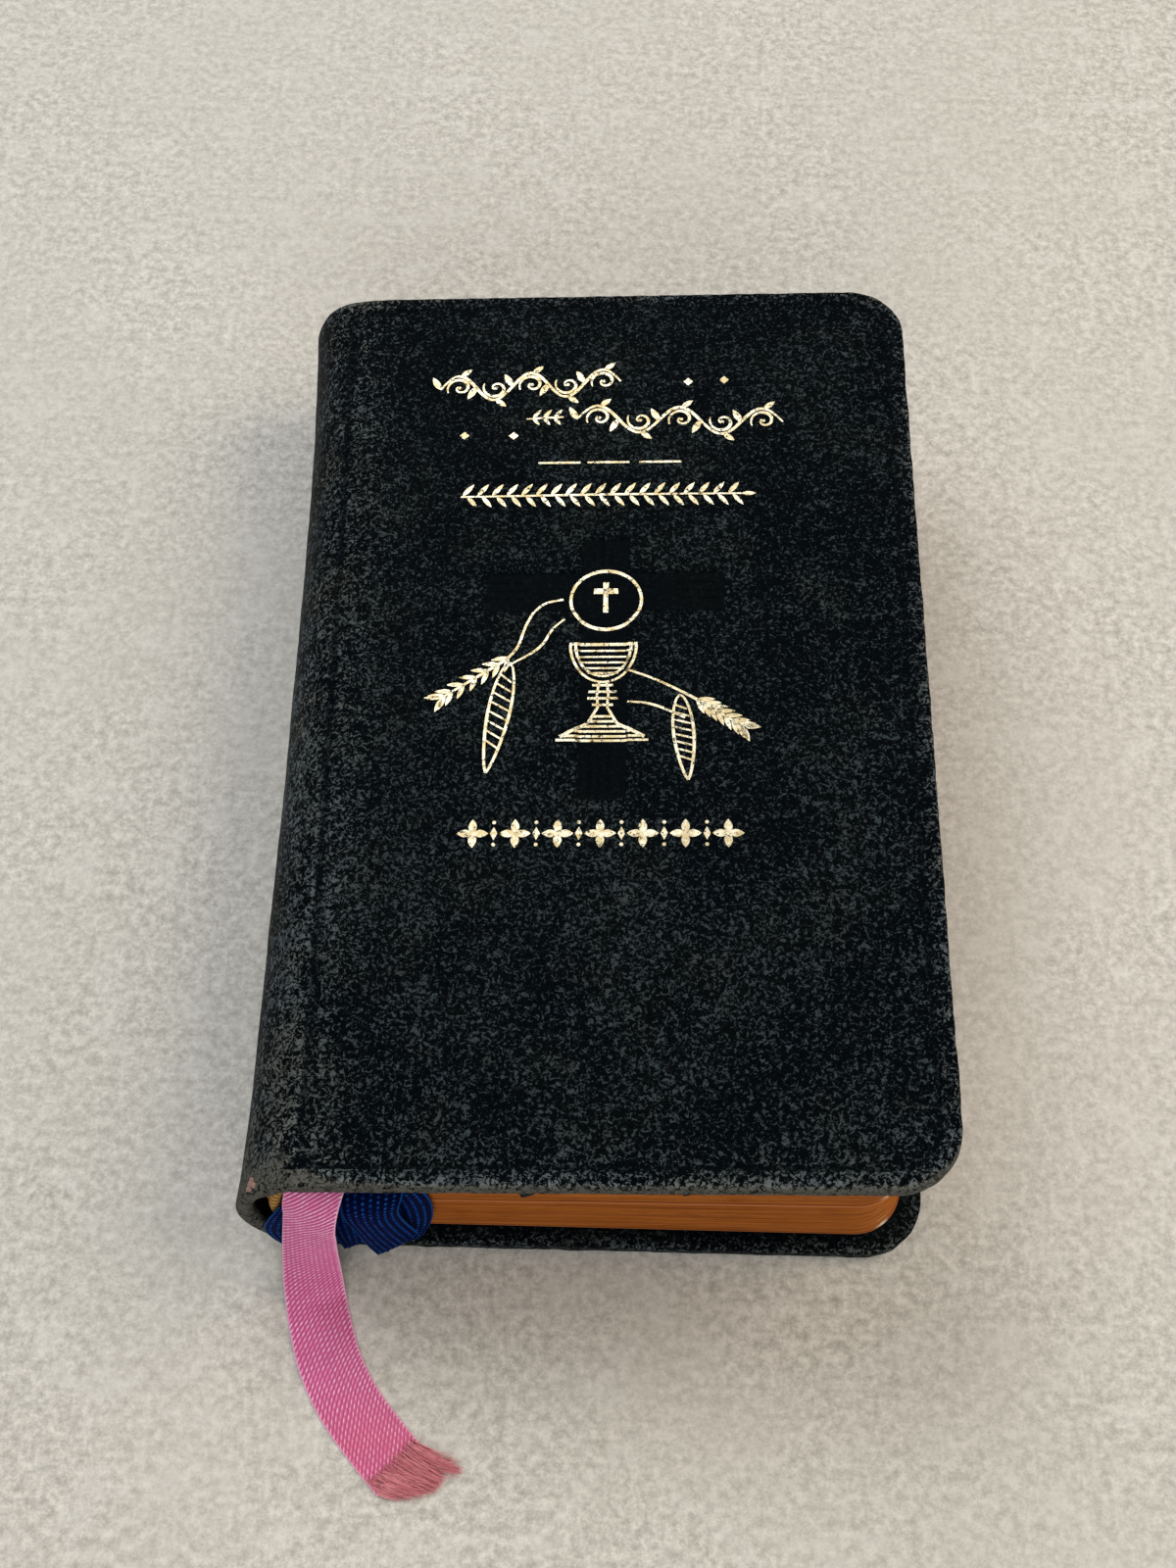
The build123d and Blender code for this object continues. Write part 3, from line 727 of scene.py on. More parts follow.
def blind_rule(u, y):
    """1 on the line pressed along a cover's edges and, a little askew, along its joint."""
    ends = band(inset_from_edge(u, y), RULE_INSET, RULE_INSET + RULE_WIDTH, 0.14)
    ends = ends * smooth_step(u, -0.6, 0.4)
    askew = u + 1.6 * (y + 11.0) / HALF_LENGTH
    joint = band(askew, -0.1, 0.75, 0.3) * smooth_step(HALF_LENGTH - np.abs(y), 1.2, 3.4)
    return np.maximum(ends, joint)


def relief(u, y, is_front):
    """Height of a cover's outer face against its plane."""
    height = -0.10 * blind_rule(u, y)
    if is_front:
        height = height - 0.17 * cross_mask(u, y) - 0.09 * ruled_ends(u, y)
    return height


def leather_wear(u, y, inset):
    """0 where the leather is still black, 1 where it is rubbed grey, more where it is scraped."""
    edge = 0.9 * np.exp(-np.maximum(inset, 0) / 0.9)
    tail = 0.4 * np.exp(-np.maximum(y + HALF_LENGTH, 0) / 2.2)
    shoulder = 0.60 * (1 - smooth_step(u, -2.5, 8.0))
    corner = 0.5 * np.exp(-np.hypot(COVER_WIDTH - u, HALF_LENGTH - np.abs(y)) / 4.0)
    cap = 0.5 * np.exp(-np.hypot(np.maximum(u, 0), y + HALF_LENGTH) / 5.0)
    return np.clip(edge + tail + shoulder + corner + cap, 0, 1.3)


def lines_between(start, stop, spacing, zones):
    """Grid lines from start to stop, closer together in the zones: (low, high, spacing)."""
    lines, at = [start], start
    while True:
        step = spacing
        for low, high, fine in zones:
            if low - spacing < at < high:
                step = min(step, fine if at >= low - fine else max(fine, low - at))
        at += step
        if at >= stop - 0.3 * step:
            break
        lines.append(at)
    return np.array(lines + [stop])


def edge_sizes(s):
    """Of the turned edge at s: its rounding, its thickness, the depth of the leather's inner face,
    the depth of the turned-in leather's upper face and how far it is turned in."""
    cover = smooth_step(s, SHOULDER - 1.0, SHOULDER + 1.5)
    on_spine, on_cover = (0.75, 1.7, 0.98, 1.02, 1.6), (0.45, COVER_THICKNESS, 0.6, 1.6, TURN_IN)
    return [a + (b - a) * cover for a, b in zip(on_spine, on_cover)]


EDGE_RINGS = 9                      # of the rings below, those round the edge itself


def edge_rings(sizes, wobble, turn_wobble):
    """The turned edge as (reach, depth) pairs, from the outer face round and back underneath."""
    round_r, total, _, turned_top, turned_width = sizes
    rings = []
    for turn in np.radians((20, 45, 70, 90)):
        rings.append(((round_r + wobble - 0.05) * math.sin(turn), round_r * (1 - math.cos(turn))))
    rings.append((round_r + 0.6 * wobble - 0.06, total / 2))
    for turn in np.radians((0, 30, 60, 90)):
        rings.append(((round_r + 0.6 * wobble - 0.05) * math.cos(turn),
                      total - round_r * (1 - math.sin(turn))))
    turned_in = round_r - turned_width + turn_wobble
    return rings + [(round_r - turned_width / 2, total), (turned_in, total), (turned_in, turned_top),
                    (round_r - RIM, turned_top)]


def round_corner(s, y, inset):
    """Moves grid points of a cover into its rounded corners; inset is the grid's own margin."""
    size = COVER_CORNER - inset
    a = np.clip((s - (FORE - COVER_CORNER)) / size, 0, 1)
    b = np.clip((np.abs(y) - (HALF_LENGTH - COVER_CORNER)) / size, 0, 1)
    both = (a > 0) & (b > 0)
    new_s = np.where(both, FORE - COVER_CORNER + size * a * np.sqrt(1 - b * b / 2), s)
    new_y = np.where(both, np.sign(y) * (HALF_LENGTH - COVER_CORNER + size * b * np.sqrt(1 - a * a / 2)), y)
    return new_s, new_y


def cover_skin(name, is_front):
    """One cover's leather: outer face, rounded edges, the part turned in, and its inner face."""
    side = 1 if is_front else -1
    rule_low, rule_high, rule_fine, corner_fine = RULE_INSET - 0.3, RULE_INSET + RULE_WIDTH + 0.3, 0.1, 0.4
    s_zones = [(FORE - rule_high, FORE - rule_low, rule_fine), (FORE - COVER_CORNER, FORE, corner_fine),
               (SEAM, SHOULDER + 1.2, 0.22)]
    y_zones = [(rule_low - HALF_LENGTH, rule_high - HALF_LENGTH, rule_fine),
               (HALF_LENGTH - rule_high, HALF_LENGTH - rule_low, rule_fine),
               (-HALF_LENGTH, -HALF_LENGTH + COVER_CORNER, corner_fine),
               (HALF_LENGTH - COVER_CORNER, HALF_LENGTH, corner_fine)]
    if is_front:
        middle = SHOULDER + MIDDLE_X
        s_zones += [(middle - CROSS_HALF_WIDTH - 0.4, middle + CROSS_HALF_WIDTH + 0.4, 0.2)]
        y_zones += [(CROSS_FOOT - 0.4, CROSS_HEAD + 0.4, 0.2)]
    rounding = edge_sizes(FORE)[0]
    s_lines = lines_between(SEAM, FORE - rounding, 0.8, s_zones)
    y_lines = lines_between(-HALF_LENGTH + rounding, HALF_LENGTH - rounding, 0.8, y_zones)
    rows, columns = len(s_lines), len(y_lines)
    s_grid, y_grid = np.meshgrid(s_lines, y_lines, indexing="ij")

    reach = (HALF_LENGTH - edge_sizes(s_grid)[0]) / (HALF_LENGTH - rounding)
    outer_s, outer_y = round_corner(s_grid, y_grid * reach, rounding)
    u_grid = outer_s - SHOULDER
    flat = np.stack([u_grid.ravel(), outer_y.ravel(), 0 * outer_y.ravel()], axis=1)
    waviness = lumpy(flat, 0.11, 3.0 * side)
    soft_swell = 0.05 * (waviness.reshape(outer_s.shape) - 0.5) * smooth_step(u_grid, 3, 9)
    soft_swell = soft_swell * smooth_step(inset_from_edge(u_grid, outer_y), 1, 5)
    outer_depth = -(relief(u_grid, outer_y, is_front) + soft_swell)
    inner_reach = (HALF_LENGTH - RIM) / (HALF_LENGTH - rounding)
    inner_grid = SEAM + (s_grid - SEAM) * (FORE - RIM - SEAM) / (FORE - rounding - SEAM)
    inner_s, inner_y = round_corner(inner_grid, y_grid * inner_reach, RIM)
    inner_depth = edge_sizes(inner_grid)[2]

    path = ([(i, 0) for i in range(rows)] + [(rows - 1, j) for j in range(1, columns)]
            + [(i, columns - 1) for i in range(rows - 2, -1, -1)])
    path_i, path_j = np.array(path).T
    base_s, base_y = outer_s[path_i, path_j], outer_y[path_i, path_j]
    in_corner = (base_s > FORE - COVER_CORNER) & (np.abs(base_y) > HALF_LENGTH - COVER_CORNER)
    out_s = np.where(in_corner, base_s - (FORE - COVER_CORNER), (path_i == rows - 1).astype(float))
    out_y = np.where(in_corner, np.sign(base_y) * (np.abs(base_y) - HALF_LENGTH + COVER_CORNER),
                     np.where(path_i == rows - 1, 0.0, np.sign(base_y)))
    size = np.hypot(out_s, out_y)
    out_s, out_y = out_s / size, out_y / size
    base = np.stack([base_s, base_y, 0 * base_s], axis=1)
    wobble = 0.10 * lumpy(base, 0.6, 5.0 + side) + 0.05 * lumpy(base, 2.1, 9.0 + side)
    rings = edge_rings(edge_sizes(base_s), wobble, 0.18 * lumpy(base, 0.25, 15.0))

    points = [on_leather(side * outer_s, outer_depth, outer_y).reshape(-1, 3)]
    marks_u, marks_y = [u_grid.ravel()], [outer_y.ravel()]
    ring_start = rows * columns
    for reach, depth in rings:
        ring_s, ring_y = base_s + out_s * reach, base_y + out_y * reach
        points.append(on_leather(side * ring_s, depth, ring_y))
        marks_u.append(ring_s - SHOULDER)
        marks_y.append(ring_y)
    inner_start = ring_start + len(rings) * len(path)
    points.append(on_leather(side * inner_s, inner_depth, inner_y).reshape(-1, 3))
    marks_u.append(inner_s.ravel() - SHOULDER)
    marks_y.append(inner_y.ravel())
    points, marks_u, marks_y = np.concatenate(points), np.concatenate(marks_u), np.concatenate(marks_y)

    loops = [[i * columns + j for i, j in path]]
    loops += [list(range(start, start + len(path))) for start in range(ring_start, inner_start, len(path))]
    loops += [[inner_start + i * columns + j for i, j in path]]
    faces = grid_faces(rows, columns) + grid_faces(rows, columns, inner_start, flip=True)
    for low, high in zip(loops, loops[1:]):
        faces += [(low[k], low[k + 1], high[k + 1], high[k]) for k in range(len(path) - 1)]
    faces += [(j, j + 1, inner_start + j + 1, inner_start + j) for j in range(columns - 1)]
    faces += [tuple(loop[0] for loop in loops), tuple(loop[-1] for loop in loops)]
    sharp = [(j, j + 1) for j in range(columns - 1)]
    sharp += [(low[end], high[end]) for low, high in zip(loops, loops[1:]) for end in (0, -1)]
    inset = inset_from_edge(marks_u, marks_y)
    wear = leather_wear(marks_u, marks_y, inset)
    pressed_or_painted_shade = np.zeros(len(points))
    if is_front:
        pressed_or_painted_shade = cross_mask(marks_u, marks_y)
    pressed_or_painted_shade = np.maximum(pressed_or_painted_shade, 0.6 * blind_rule(marks_u, marks_y))
    pressed_or_painted_shade[inner_start:] = 0
    # The turned-in leather and the inner face are painted near-black and unworn: painted shade for leather
    # that lies in shadow.
    turned_in = ring_start + EDGE_RINGS * len(path)
    wear[turned_in:] = 0
    pressed_or_painted_shade[turned_in:] = 1
    # The back cover's rounded edges keep only a little of their grey wear: painted shade for edges that lie
    # in the book's shadow.
    if not is_front:
        wear[ring_start:] *= 0.3
    return mesh_piece(name, points, faces, [LEATHER],
                      marks={"wear": wear * (1 - pressed_or_painted_shade), "pressed_or_painted_shade": pressed_or_painted_shade}, sharp=sharp)


def spine_skin():
    """The spine's leather: an arched strip, turned in at the head and tail over a cord."""
    s_lines = np.linspace(-SEAM, SEAM, 61)
    sizes = [float(value) for value in edge_sizes(0.0)]
    round_r, inner_top = sizes[0], sizes[2]
    y_lines = np.linspace(-HALF_LENGTH + round_r, HALF_LENGTH - round_r, 150)
    end = edge_rings(sizes, 0.0, 0.0)
    section = [(y, 0.0) for y in y_lines]
    section += [(y_lines[-1] + reach, depth) for reach, depth in end]
    section += [(y, inner_top) for y in np.linspace(HALF_LENGTH - RIM, -HALF_LENGTH + RIM, 40)]
    section += [(y_lines[0] - reach, depth) for reach, depth in end[::-1]]
    y_all, depth_all = np.array(section).T
    s_grid, y_grid = np.meshgrid(s_lines, y_all, indexing="ij")
    depth_grid = np.broadcast_to(depth_all, s_grid.shape)
    flat = np.stack([s_grid.ravel(), y_grid.ravel(), 0 * s_grid.ravel()], axis=1)
    dents = 0.10 * lumpy(flat, 0.13, 21.0) + 0.04 * lumpy(flat, 0.6, 31.0)
    dents = dents.reshape(s_grid.shape) * (1 - smooth_step(np.abs(s_grid), SEAM - 3, SEAM - 0.5))
    points = on_leather(s_grid, depth_grid + (dents + 0.06) * (depth_grid < 0.5), y_grid).reshape(-1, 3)
    count = len(y_all)
    last = (len(s_lines) - 1) * count
    sharp = [(base + j, base + (j + 1) % count) for base in (0, last) for j in range(count)]
    inset = HALF_LENGTH - np.abs(y_grid)
    wear = np.clip(0.62 + 0.25 * lumpy(flat, 0.09, 41.0).reshape(s_grid.shape)
                   + 0.5 * np.exp(-inset / 2.0) + 0.35 * np.exp(-(y_grid + HALF_LENGTH) / 5.0), 0, 1.3)
    return mesh_piece("spine_leather_skin", points, tube_faces(len(s_lines), count), [LEATHER],
                      marks={"wear": wear, "pressed_or_painted_shade": np.zeros(len(points))}, sharp=sharp)


front_skin = cover_skin("front_cover_leather_skin", True)
back_skin = cover_skin("back_cover_leather_skin", False)
spine = spine_skin()
bend_over(front_skin, ("front_block", "front_cover"), FRONT_AXIS, Vector((LEAN_COS, 0, LEAN_SIN)),
          *JOINT_BEND, "black_leather", "front_cover_leather")
bend_over(back_skin, ("rear_block", "back_cover"), BACK_AXIS, Vector((1, 0, 0)),
          *JOINT_BEND, "black_leather", "back_cover_leather")
over_gutter(spine, SPINE_BEND, "black_leather", "front_spine_leather", "rear_spine_leather")


def cap_tear():
    """A small raw flap where the leather of the spine's tail cap is torn."""
    outline = np.array([(-0.4, -0.3), (-0.15, -0.65), (0.1, -0.35), (0.45, -0.4), (0.5, 0.1), (0.2, 0.3),
                        (0.1, 0.7), (-0.2, 0.3)])
    count, lift = len(outline), 0.16
    torn_at = (7.3, -52.9)
    ring = np.concatenate([outline, outline.mean(axis=0)[None]]) + torn_at
    heights = np.concatenate([lift * (0.4 + 0.6 * np.abs(np.sin(1.7 * np.arange(count)))), [lift * 0.5]])
    points = [on_leather(ring[:, 0], depth, ring[:, 1]) for depth in (-heights - 0.12, 0 * heights + 0.2)]
    faces = []
    for k in range(count):
        n = (k + 1) % count
        faces += [(k, n, count), (count + 1 + n, count + 1 + k, 2 * count + 1),
                  (k, count + 1 + k, count + 1 + n, n)]
    piece = mesh_piece("spine_cap_tear", np.concatenate(points), faces, [BARE], smooth=False)
    over_gutter(piece, SPINE_BEND, "black_leather")


cap_tear()


def leather_flake(number, u, width, length):
    """A little tongue of leather that has lifted off the tail edge of the front cover."""
    rows = []
    for t in np.linspace(0, 1, 6):
        half = width / 2 * (1 - t) ** 0.7 + 0.03
        for offset, back in ((-half, 0.0), (half, 0.0), (half, 0.1), (-half, 0.1)):
            rows.append(on_leather(SHOULDER + u + offset - 0.5 * t * t, COVER_THICKNESS - 0.25 + length * t,
                                   -HALF_LENGTH + 0.15 + back))
    piece = mesh_piece(f"front_cover_flake_{number}", np.array(rows), tube_faces(6, 4), [LEATHER],
                       marks={"wear": np.full(24, 0.2), "pressed_or_painted_shade": np.zeros(24)}, smooth=False)
    settle(piece, "front_cover", "black_leather")


leather_flake(1, 22.6, 1.6, 1.5)
leather_flake(2, 37.6, 0.8, 0.7)


# ---- gold foil, strokes and small plates that follow the front cover's surface
FOIL_TOP, FOIL_SINK = 0.035, 0.05


def on_cover(u, y, lift):
    """Row position at a height over the front cover's leather; u runs from the joint."""
    u, y = np.asarray(u, float), np.asarray(y, float)
    return place(SHOULDER + u, -(relief(u, y, True) + lift), y)


class Foil:
    """Gathers the plates of one ornament."""

    def __init__(self):
        self.points, self.faces = [], []

    def stroke(self, line, widths):
        """A line of foil through points (distance from the middle line, y)."""
        line = np.array(line, float)
        lengths = np.concatenate([[0], np.cumsum(np.hypot(*np.diff(line, axis=0).T))])
        count = max(2, int(lengths[-1] / 0.25) + 1)
        along = np.linspace(0, lengths[-1], count)
        x, y = np.interp(along, lengths, line[:, 0]), np.interp(along, lengths, line[:, 1])
        widths = np.interp(along, np.linspace(0, lengths[-1], len(widths)), widths)
        ahead = unit(np.stack([np.gradient(x), np.gradient(y)], axis=1))
        left = np.stack([x - ahead[:, 1] * widths / 2, y + ahead[:, 0] * widths / 2])
        right = np.stack([x + ahead[:, 1] * widths / 2, y - ahead[:, 0] * widths / 2])
        base = sum(len(part) for part in self.points)
        for (u, v), lift in ((left, FOIL_TOP), (right, FOIL_TOP), (right, -FOIL_SINK), (left, -FOIL_SINK)):
            self.points.append(on_cover(u + MIDDLE_X, v, lift))
        for k in range(4):
            a, b = base + k * count, base + (k + 1) % 4 * count
            self.faces += [(a + i, a + i + 1, b + i + 1, b + i) for i in range(count - 1)]
        self.faces += [tuple(base + k * count for k in range(4)),
                       tuple(base + k * count + count - 1 for k in range(4))[::-1]]

    def plate(self, outline):
        """A filled shape whose outline can be seen from its middle."""
        outline = np.array(outline, float)
        middle = outline.mean(axis=0)
        count, base = len(outline), sum(len(part) for part in self.points)
        ring = np.concatenate([outline, (outline + middle) / 2, middle[None]])
        for lift in (FOIL_TOP, -FOIL_SINK):
            self.points.append(on_cover(ring[:, 0] + MIDDLE_X, ring[:, 1], lift))
        low = base + 2 * count + 1
        for k in range(count):
            n = (k + 1) % count
            self.faces += [(base + k, base + n, base + count + n, base + count + k),
                           (base + count + k, base + count + n, base + 2 * count),
                           (low + n, low + k, low + count + k, low + count + n),
                           (low + count + n, low + count + k, low + 2 * count),
                           (base + k, low + k, low + n, base + n)]

    def lozenge(self, x, y, width, height):
        self.plate([(x + width / 2, y), (x, y + height / 2), (x - width / 2, y), (x, y - height / 2)])

    def dot(self, x, y, radius):
        turns = np.linspace(0, 2 * math.pi, 11)[:-1]
        self.plate([(x + radius * math.cos(t), y + radius * math.sin(t)) for t in turns])

    def leaf(self, x, y, degrees, length, width):
        """A pointed leaf that starts at (x, y)."""
        t = np.linspace(0, 1, 9)
        half = 0.5 * width * np.sin(math.pi * t) ** 0.8 * (1.15 - 0.3 * t)
        outline = list(zip(t * length, half)) + list(zip(t[-2:0:-1] * length, -half[-2:0:-1]))
        c, s = math.cos(math.radians(degrees)), math.sin(math.radians(degrees))
        self.plate([(x + a * c - b * s, y + a * s + b * c) for a, b in outline])

    def scroll(self, x, y, radius, start, sweep, widths, tight=0.25):
        """A curl round (x, y) that starts at an angle and winds in over sweep degrees."""
        t = np.linspace(0, 1, 40)
        turn = np.radians(start + sweep * t)
        reach = radius * (1 - (1 - tight) * t)
        self.stroke(np.stack([x + reach * np.cos(turn), y + reach * np.sin(turn)], axis=1), widths)

    def finish(self, name, node):
        piece = mesh_piece(name, np.concatenate(self.points), self.faces, [GOLD], smooth=False)
        settle(piece, "front_cover", "gold_foil", node)


def vine(foil, x, y, pitch, bends, size, rise):
    """A running scroll: a waving stem, in each bend a tendril that curls in to a berry, and a leaf
    on each side of the stem between the bends.  rise is how far its middle line climbs."""
    length = pitch * bends
    t = np.linspace(0, 1, 24 * bends)
    stem = np.stack([x + length * t, y + rise * t + 1.12 * size * np.sin(math.pi * bends * t)], axis=1)
    foil.stroke(stem, [0.20, 0.40, 0.30, 0.40, 0.30, 0.40, 0.20])
    for bend in range(bends):
        middle, side = (bend + 0.5) / bends, 1 - 2 * (bend % 2)
        at_x, at_y = x + length * middle, y + rise * middle
        start = 208 if side > 0 else 152
        foil.scroll(at_x + 0.1 * size, at_y + 0.08 * side * size, 0.92 * size, start, -430 * side,
                    [0.16, 0.30, 0.40, 0.30, 0.20], 0.16)
        foil.dot(at_x + 0.1 * size, at_y + 0.08 * side * size, 0.2)
        foil.leaf(at_x - 0.50 * pitch, at_y - 0.1 * side, 118 * side, 1.25 * size, 0.46 * size)
        foil.leaf(at_x + 0.05 * pitch, at_y + 1.12 * side * size, 38 * side, 0.95 * size, 0.40 * size)


def title_ornament():
    foil = Foil()
    vine(foil, -19.3, 39.9, 4.15, 5, 1.65, 0.9)
    vine(foil, -3.4, 35.5, 4.65, 5, 1.65, -0.9)
    for x in (-8.5, -7.3, -6.1):
        foil.leaf(x, 35.6, 52, 1.5, 0.46)
        foil.leaf(x, 35.6, -52, 1.3, 0.42)
    foil.stroke([(-9.2, 35.5), (-5.0, 35.7)], [0.2, 0.28, 0.2])
    foil.finish("gilt_title_vines", "gilt_title_ornament")


def rules_ornament():
    foil = Foil()
    for x in (-5.3, 0.2, 6.0):
        foil.stroke([(x - 2.35, 29.2), (x + 2.35, 29.2)], [0.22, 0.30, 0.26])
    for x, y in ((-16.2, 33.2), (-10.6, 33.1), (9.2, 40.6), (13.3, 40.8)):
        foil.lozenge(x, y, 1.1, 1.1)
    foil.finish("gilt_rules_and_lozenges", "gilt_rules")


def line_ornament():
    """A straight laurel branch."""
    foil = Foil()
    foil.stroke([(-16.2, 24.6), (0, 24.75), (15.0, 24.7)], [0.2, 0.28, 0.2])
    for step in range(19):
        x = -16.0 + 1.64 * step
        foil.leaf(x, 24.72, 52, 2.0, 0.56)
        foil.leaf(x + 0.5, 24.64, -52, 1.9, 0.52)
    foil.leaf(15.0, 24.7, 0, 1.6, 0.55)
    foil.finish("gilt_laurel_line", "gilt_line_ornament")


def emblem():
    """A ring round a plain cross over a plain footed bowl."""
    foil = Foil()
    turns = np.linspace(0, 2 * math.pi, 90)
    foil.stroke(np.stack([0.2 + 3.8 * np.cos(turns), 10.8 + 3.75 * np.sin(turns)], axis=1),
                [0.32, 0.42, 0.32, 0.42, 0.32])
    foil.plate([(-0.15, 13.1), (0.48, 13.1), (0.40, 11.0), (0.45, 9.2), (-0.12, 9.2), (-0.08, 11.0)])
    foil.plate([(-1.1, 12.3), (-1.15, 11.6), (1.5, 11.6), (1.45, 12.3)])
    bowl = np.linspace(math.pi, 2 * math.pi, 30)
    for size in (1.0, 0.84):
        foil.stroke(np.stack([3.5 * size * np.cos(bowl), 5.0 + 4.5 * size * np.sin(bowl)], axis=1),
                    [0.3, 0.24, 0.3])
    foil.stroke([(-3.6, 5.15), (3.6, 5.15)], [0.36, 0.36])
    for y, reach in ((4.35, 3.1), (3.6, 2.9), (2.9, 2.6), (2.2, 2.2), (1.6, 1.6)):
        foil.stroke([(-reach, y), (reach, y)], [0.2, 0.24, 0.2])
    for y, reach in ((0.1, 1.1), (-0.7, 1.5), (-1.5, 1.6), (-2.3, 1.1)):
        foil.stroke([(-reach, y), (reach, y)], [0.28, 0.28])
    foot = ((0.4, 0.4), (0.6, -0.9), (0.5, -2.6), (1.5, -4.5), (4.4, -6.2))
    for side in (-1, 1):
        foil.stroke([(side * x, y) for x, y in foot], [0.26, 0.26, 0.3, 0.36, 0.4])
    for y, reach in ((-6.6, 4.8), (-6.1, 4.1), (-5.5, 2.9), (-4.9, 2.0), (-4.3, 1.4), (-3.7, 0.9)):
        foil.stroke([(-reach, y), (reach, y)], [0.30, 0.26])
    foil.finish("gilt_ring_and_bowl", "gilt_emblem")


def smooth_line(points):
    """A line of fine steps through a few points."""
    points = np.array(points, float)
    for _ in range(4):
        middles = np.repeat((points[:-1] + points[1:]) / 2, 2, axis=0)
        middles[::2] = 0.75 * points[:-1] + 0.25 * points[1:]
        middles[1::2] = 0.25 * points[:-1] + 0.75 * points[1:]
        points = np.concatenate([points[:1], middles, points[-1:]])
    return points


def hanging_leaf(foil, top, foot, width):
    """A long leaf in outline with slanting veins, hung from its stalk."""
    top, foot = np.array(top, float), np.array(foot, float)
    ahead = foot - top
    across = np.array((-ahead[1], ahead[0])) / np.hypot(*ahead)
    t = np.linspace(0, 1, 24)[:, None]
    reach = 0.5 * width * np.sin(math.pi * t ** 0.8) ** 0.7
    for side in (-1, 1):
        foil.stroke(top + ahead * t + side * across * reach, [0.22, 0.34, 0.28])
    for share in np.linspace(0.12, 0.72, 8):
        middle = top + ahead * share
        half = 0.42 * width * math.sin(math.pi * share ** 0.8) ** 0.7
        foil.stroke([middle - across * half, middle + across * half + 0.06 * ahead], [0.18, 0.24, 0.18])


def sprigs():
    """An ear of corn and a hanging leaf on each side of the bowl."""
    foil = Foil()
    left = smooth_line([(-16.9, -1.4), (-12.6, 1.6), (-9.2, 4.0), (-8.4, 7.6), (-6.9, 10.4), (-4.4, 10.9)])
    right = smooth_line([(2.6, 1.9), (5.2, 0.9), (8.8, -1.1), (11.4, -2.8), (14.6, -5.1)])[::-1]
    for line, last in ((left, 0.42), (right, 0.45)):
        foil.stroke(line, [0.22, 0.34, 0.28, 0.24])
        steps = len(line)
        for k in range(1, int(steps * last), max(2, steps // 17)):
            lean = math.degrees(math.atan2(*(line[k] - line[k - 1])[::-1]))
            for turn in (34, -34):
                foil.leaf(*line[k], lean + 180 + turn, 1.9, 0.52)
    foil.stroke(smooth_line([(-10.4, 2.3), (-6.6, 4.6), (-5.6, 7.0), (-4.2, 8.3)]), [0.18, 0.3, 0.2])
    foil.stroke(smooth_line([(2.6, -2.0), (5.2, -2.2), (8.6, -4.0)]), [0.2, 0.3, 0.2])
    hanging_leaf(foil, (-9.9, 2.9), (-11.9, -10.4), 2.3)
    hanging_leaf(foil, (8.1, -1.2), (8.9, -11.3), 2.1)
    foil.finish("gilt_ears_and_leaves", "gilt_sprigs")


def foot_ornament():
    """A row of four-petalled flowers with a small lozenge between each two."""
    foil = Foil()
    for step in range(-6, 7):
        x, y = 2.15 * step, -17.4
        if step % 2:
            foil.lozenge(x, y, 0.75, 1.5)
            foil.dot(x, y + 1.25, 0.2)
            foil.dot(x, y - 1.25, 0.2)
        else:
            for turn in (0, 90, 180, 270):
                foil.leaf(x, y, turn, 1.6, 0.85)
    foil.finish("gilt_foot_flowers", "gilt_foot_ornament")


title_ornament()
rules_ornament()
line_ornament()
emblem()
sprigs()
foot_ornament()

# ---- the leaves
SECTIONS = 12
HALF_SECTIONS = 6
TOP_GAP, RIBBON_GAP, GUTTER_GAP, HOLLOW = 0.6, 0.4, 0.35, 1.0
BACK_ROUND, BACK_INSET = 2.1, 5.6
LEAVES_SHOWN = 11                   # ridges on the cut edges of one section
SPINE_POINTS = 12                   # of a leaf's outline, between its two corners at the spine


def block_height(x, share):
    """Row z of a level of the leaves at x, from share 0 at their bottom to 1 at their top."""
    top = SPINE_HEIGHT - COVER_THICKNESS / LEAN_COS + math.tan(COVER_LEAN) * (x - JOINT_X) - TOP_GAP
    return BLOCK_BOTTOM + share * (top - BLOCK_BOTTOM)


BLOCK_CHORD = block_height(JOINT_X, 1) - BLOCK_BOTTOM
BACK_RADIUS = (BLOCK_CHORD ** 2 / 4 + BACK_ROUND ** 2) / (2 * BACK_ROUND)
BACK_CENTRE = (CROWN_X + BACK_INSET - BACK_ROUND + BACK_RADIUS, BLOCK_BOTTOM + BLOCK_CHORD / 2)


def back_x(z):
    """Row x of the rounded back of the leaves."""
    return BACK_CENTRE[0] - math.sqrt(BACK_RADIUS ** 2 - (z - BACK_CENTRE[1]) ** 2)


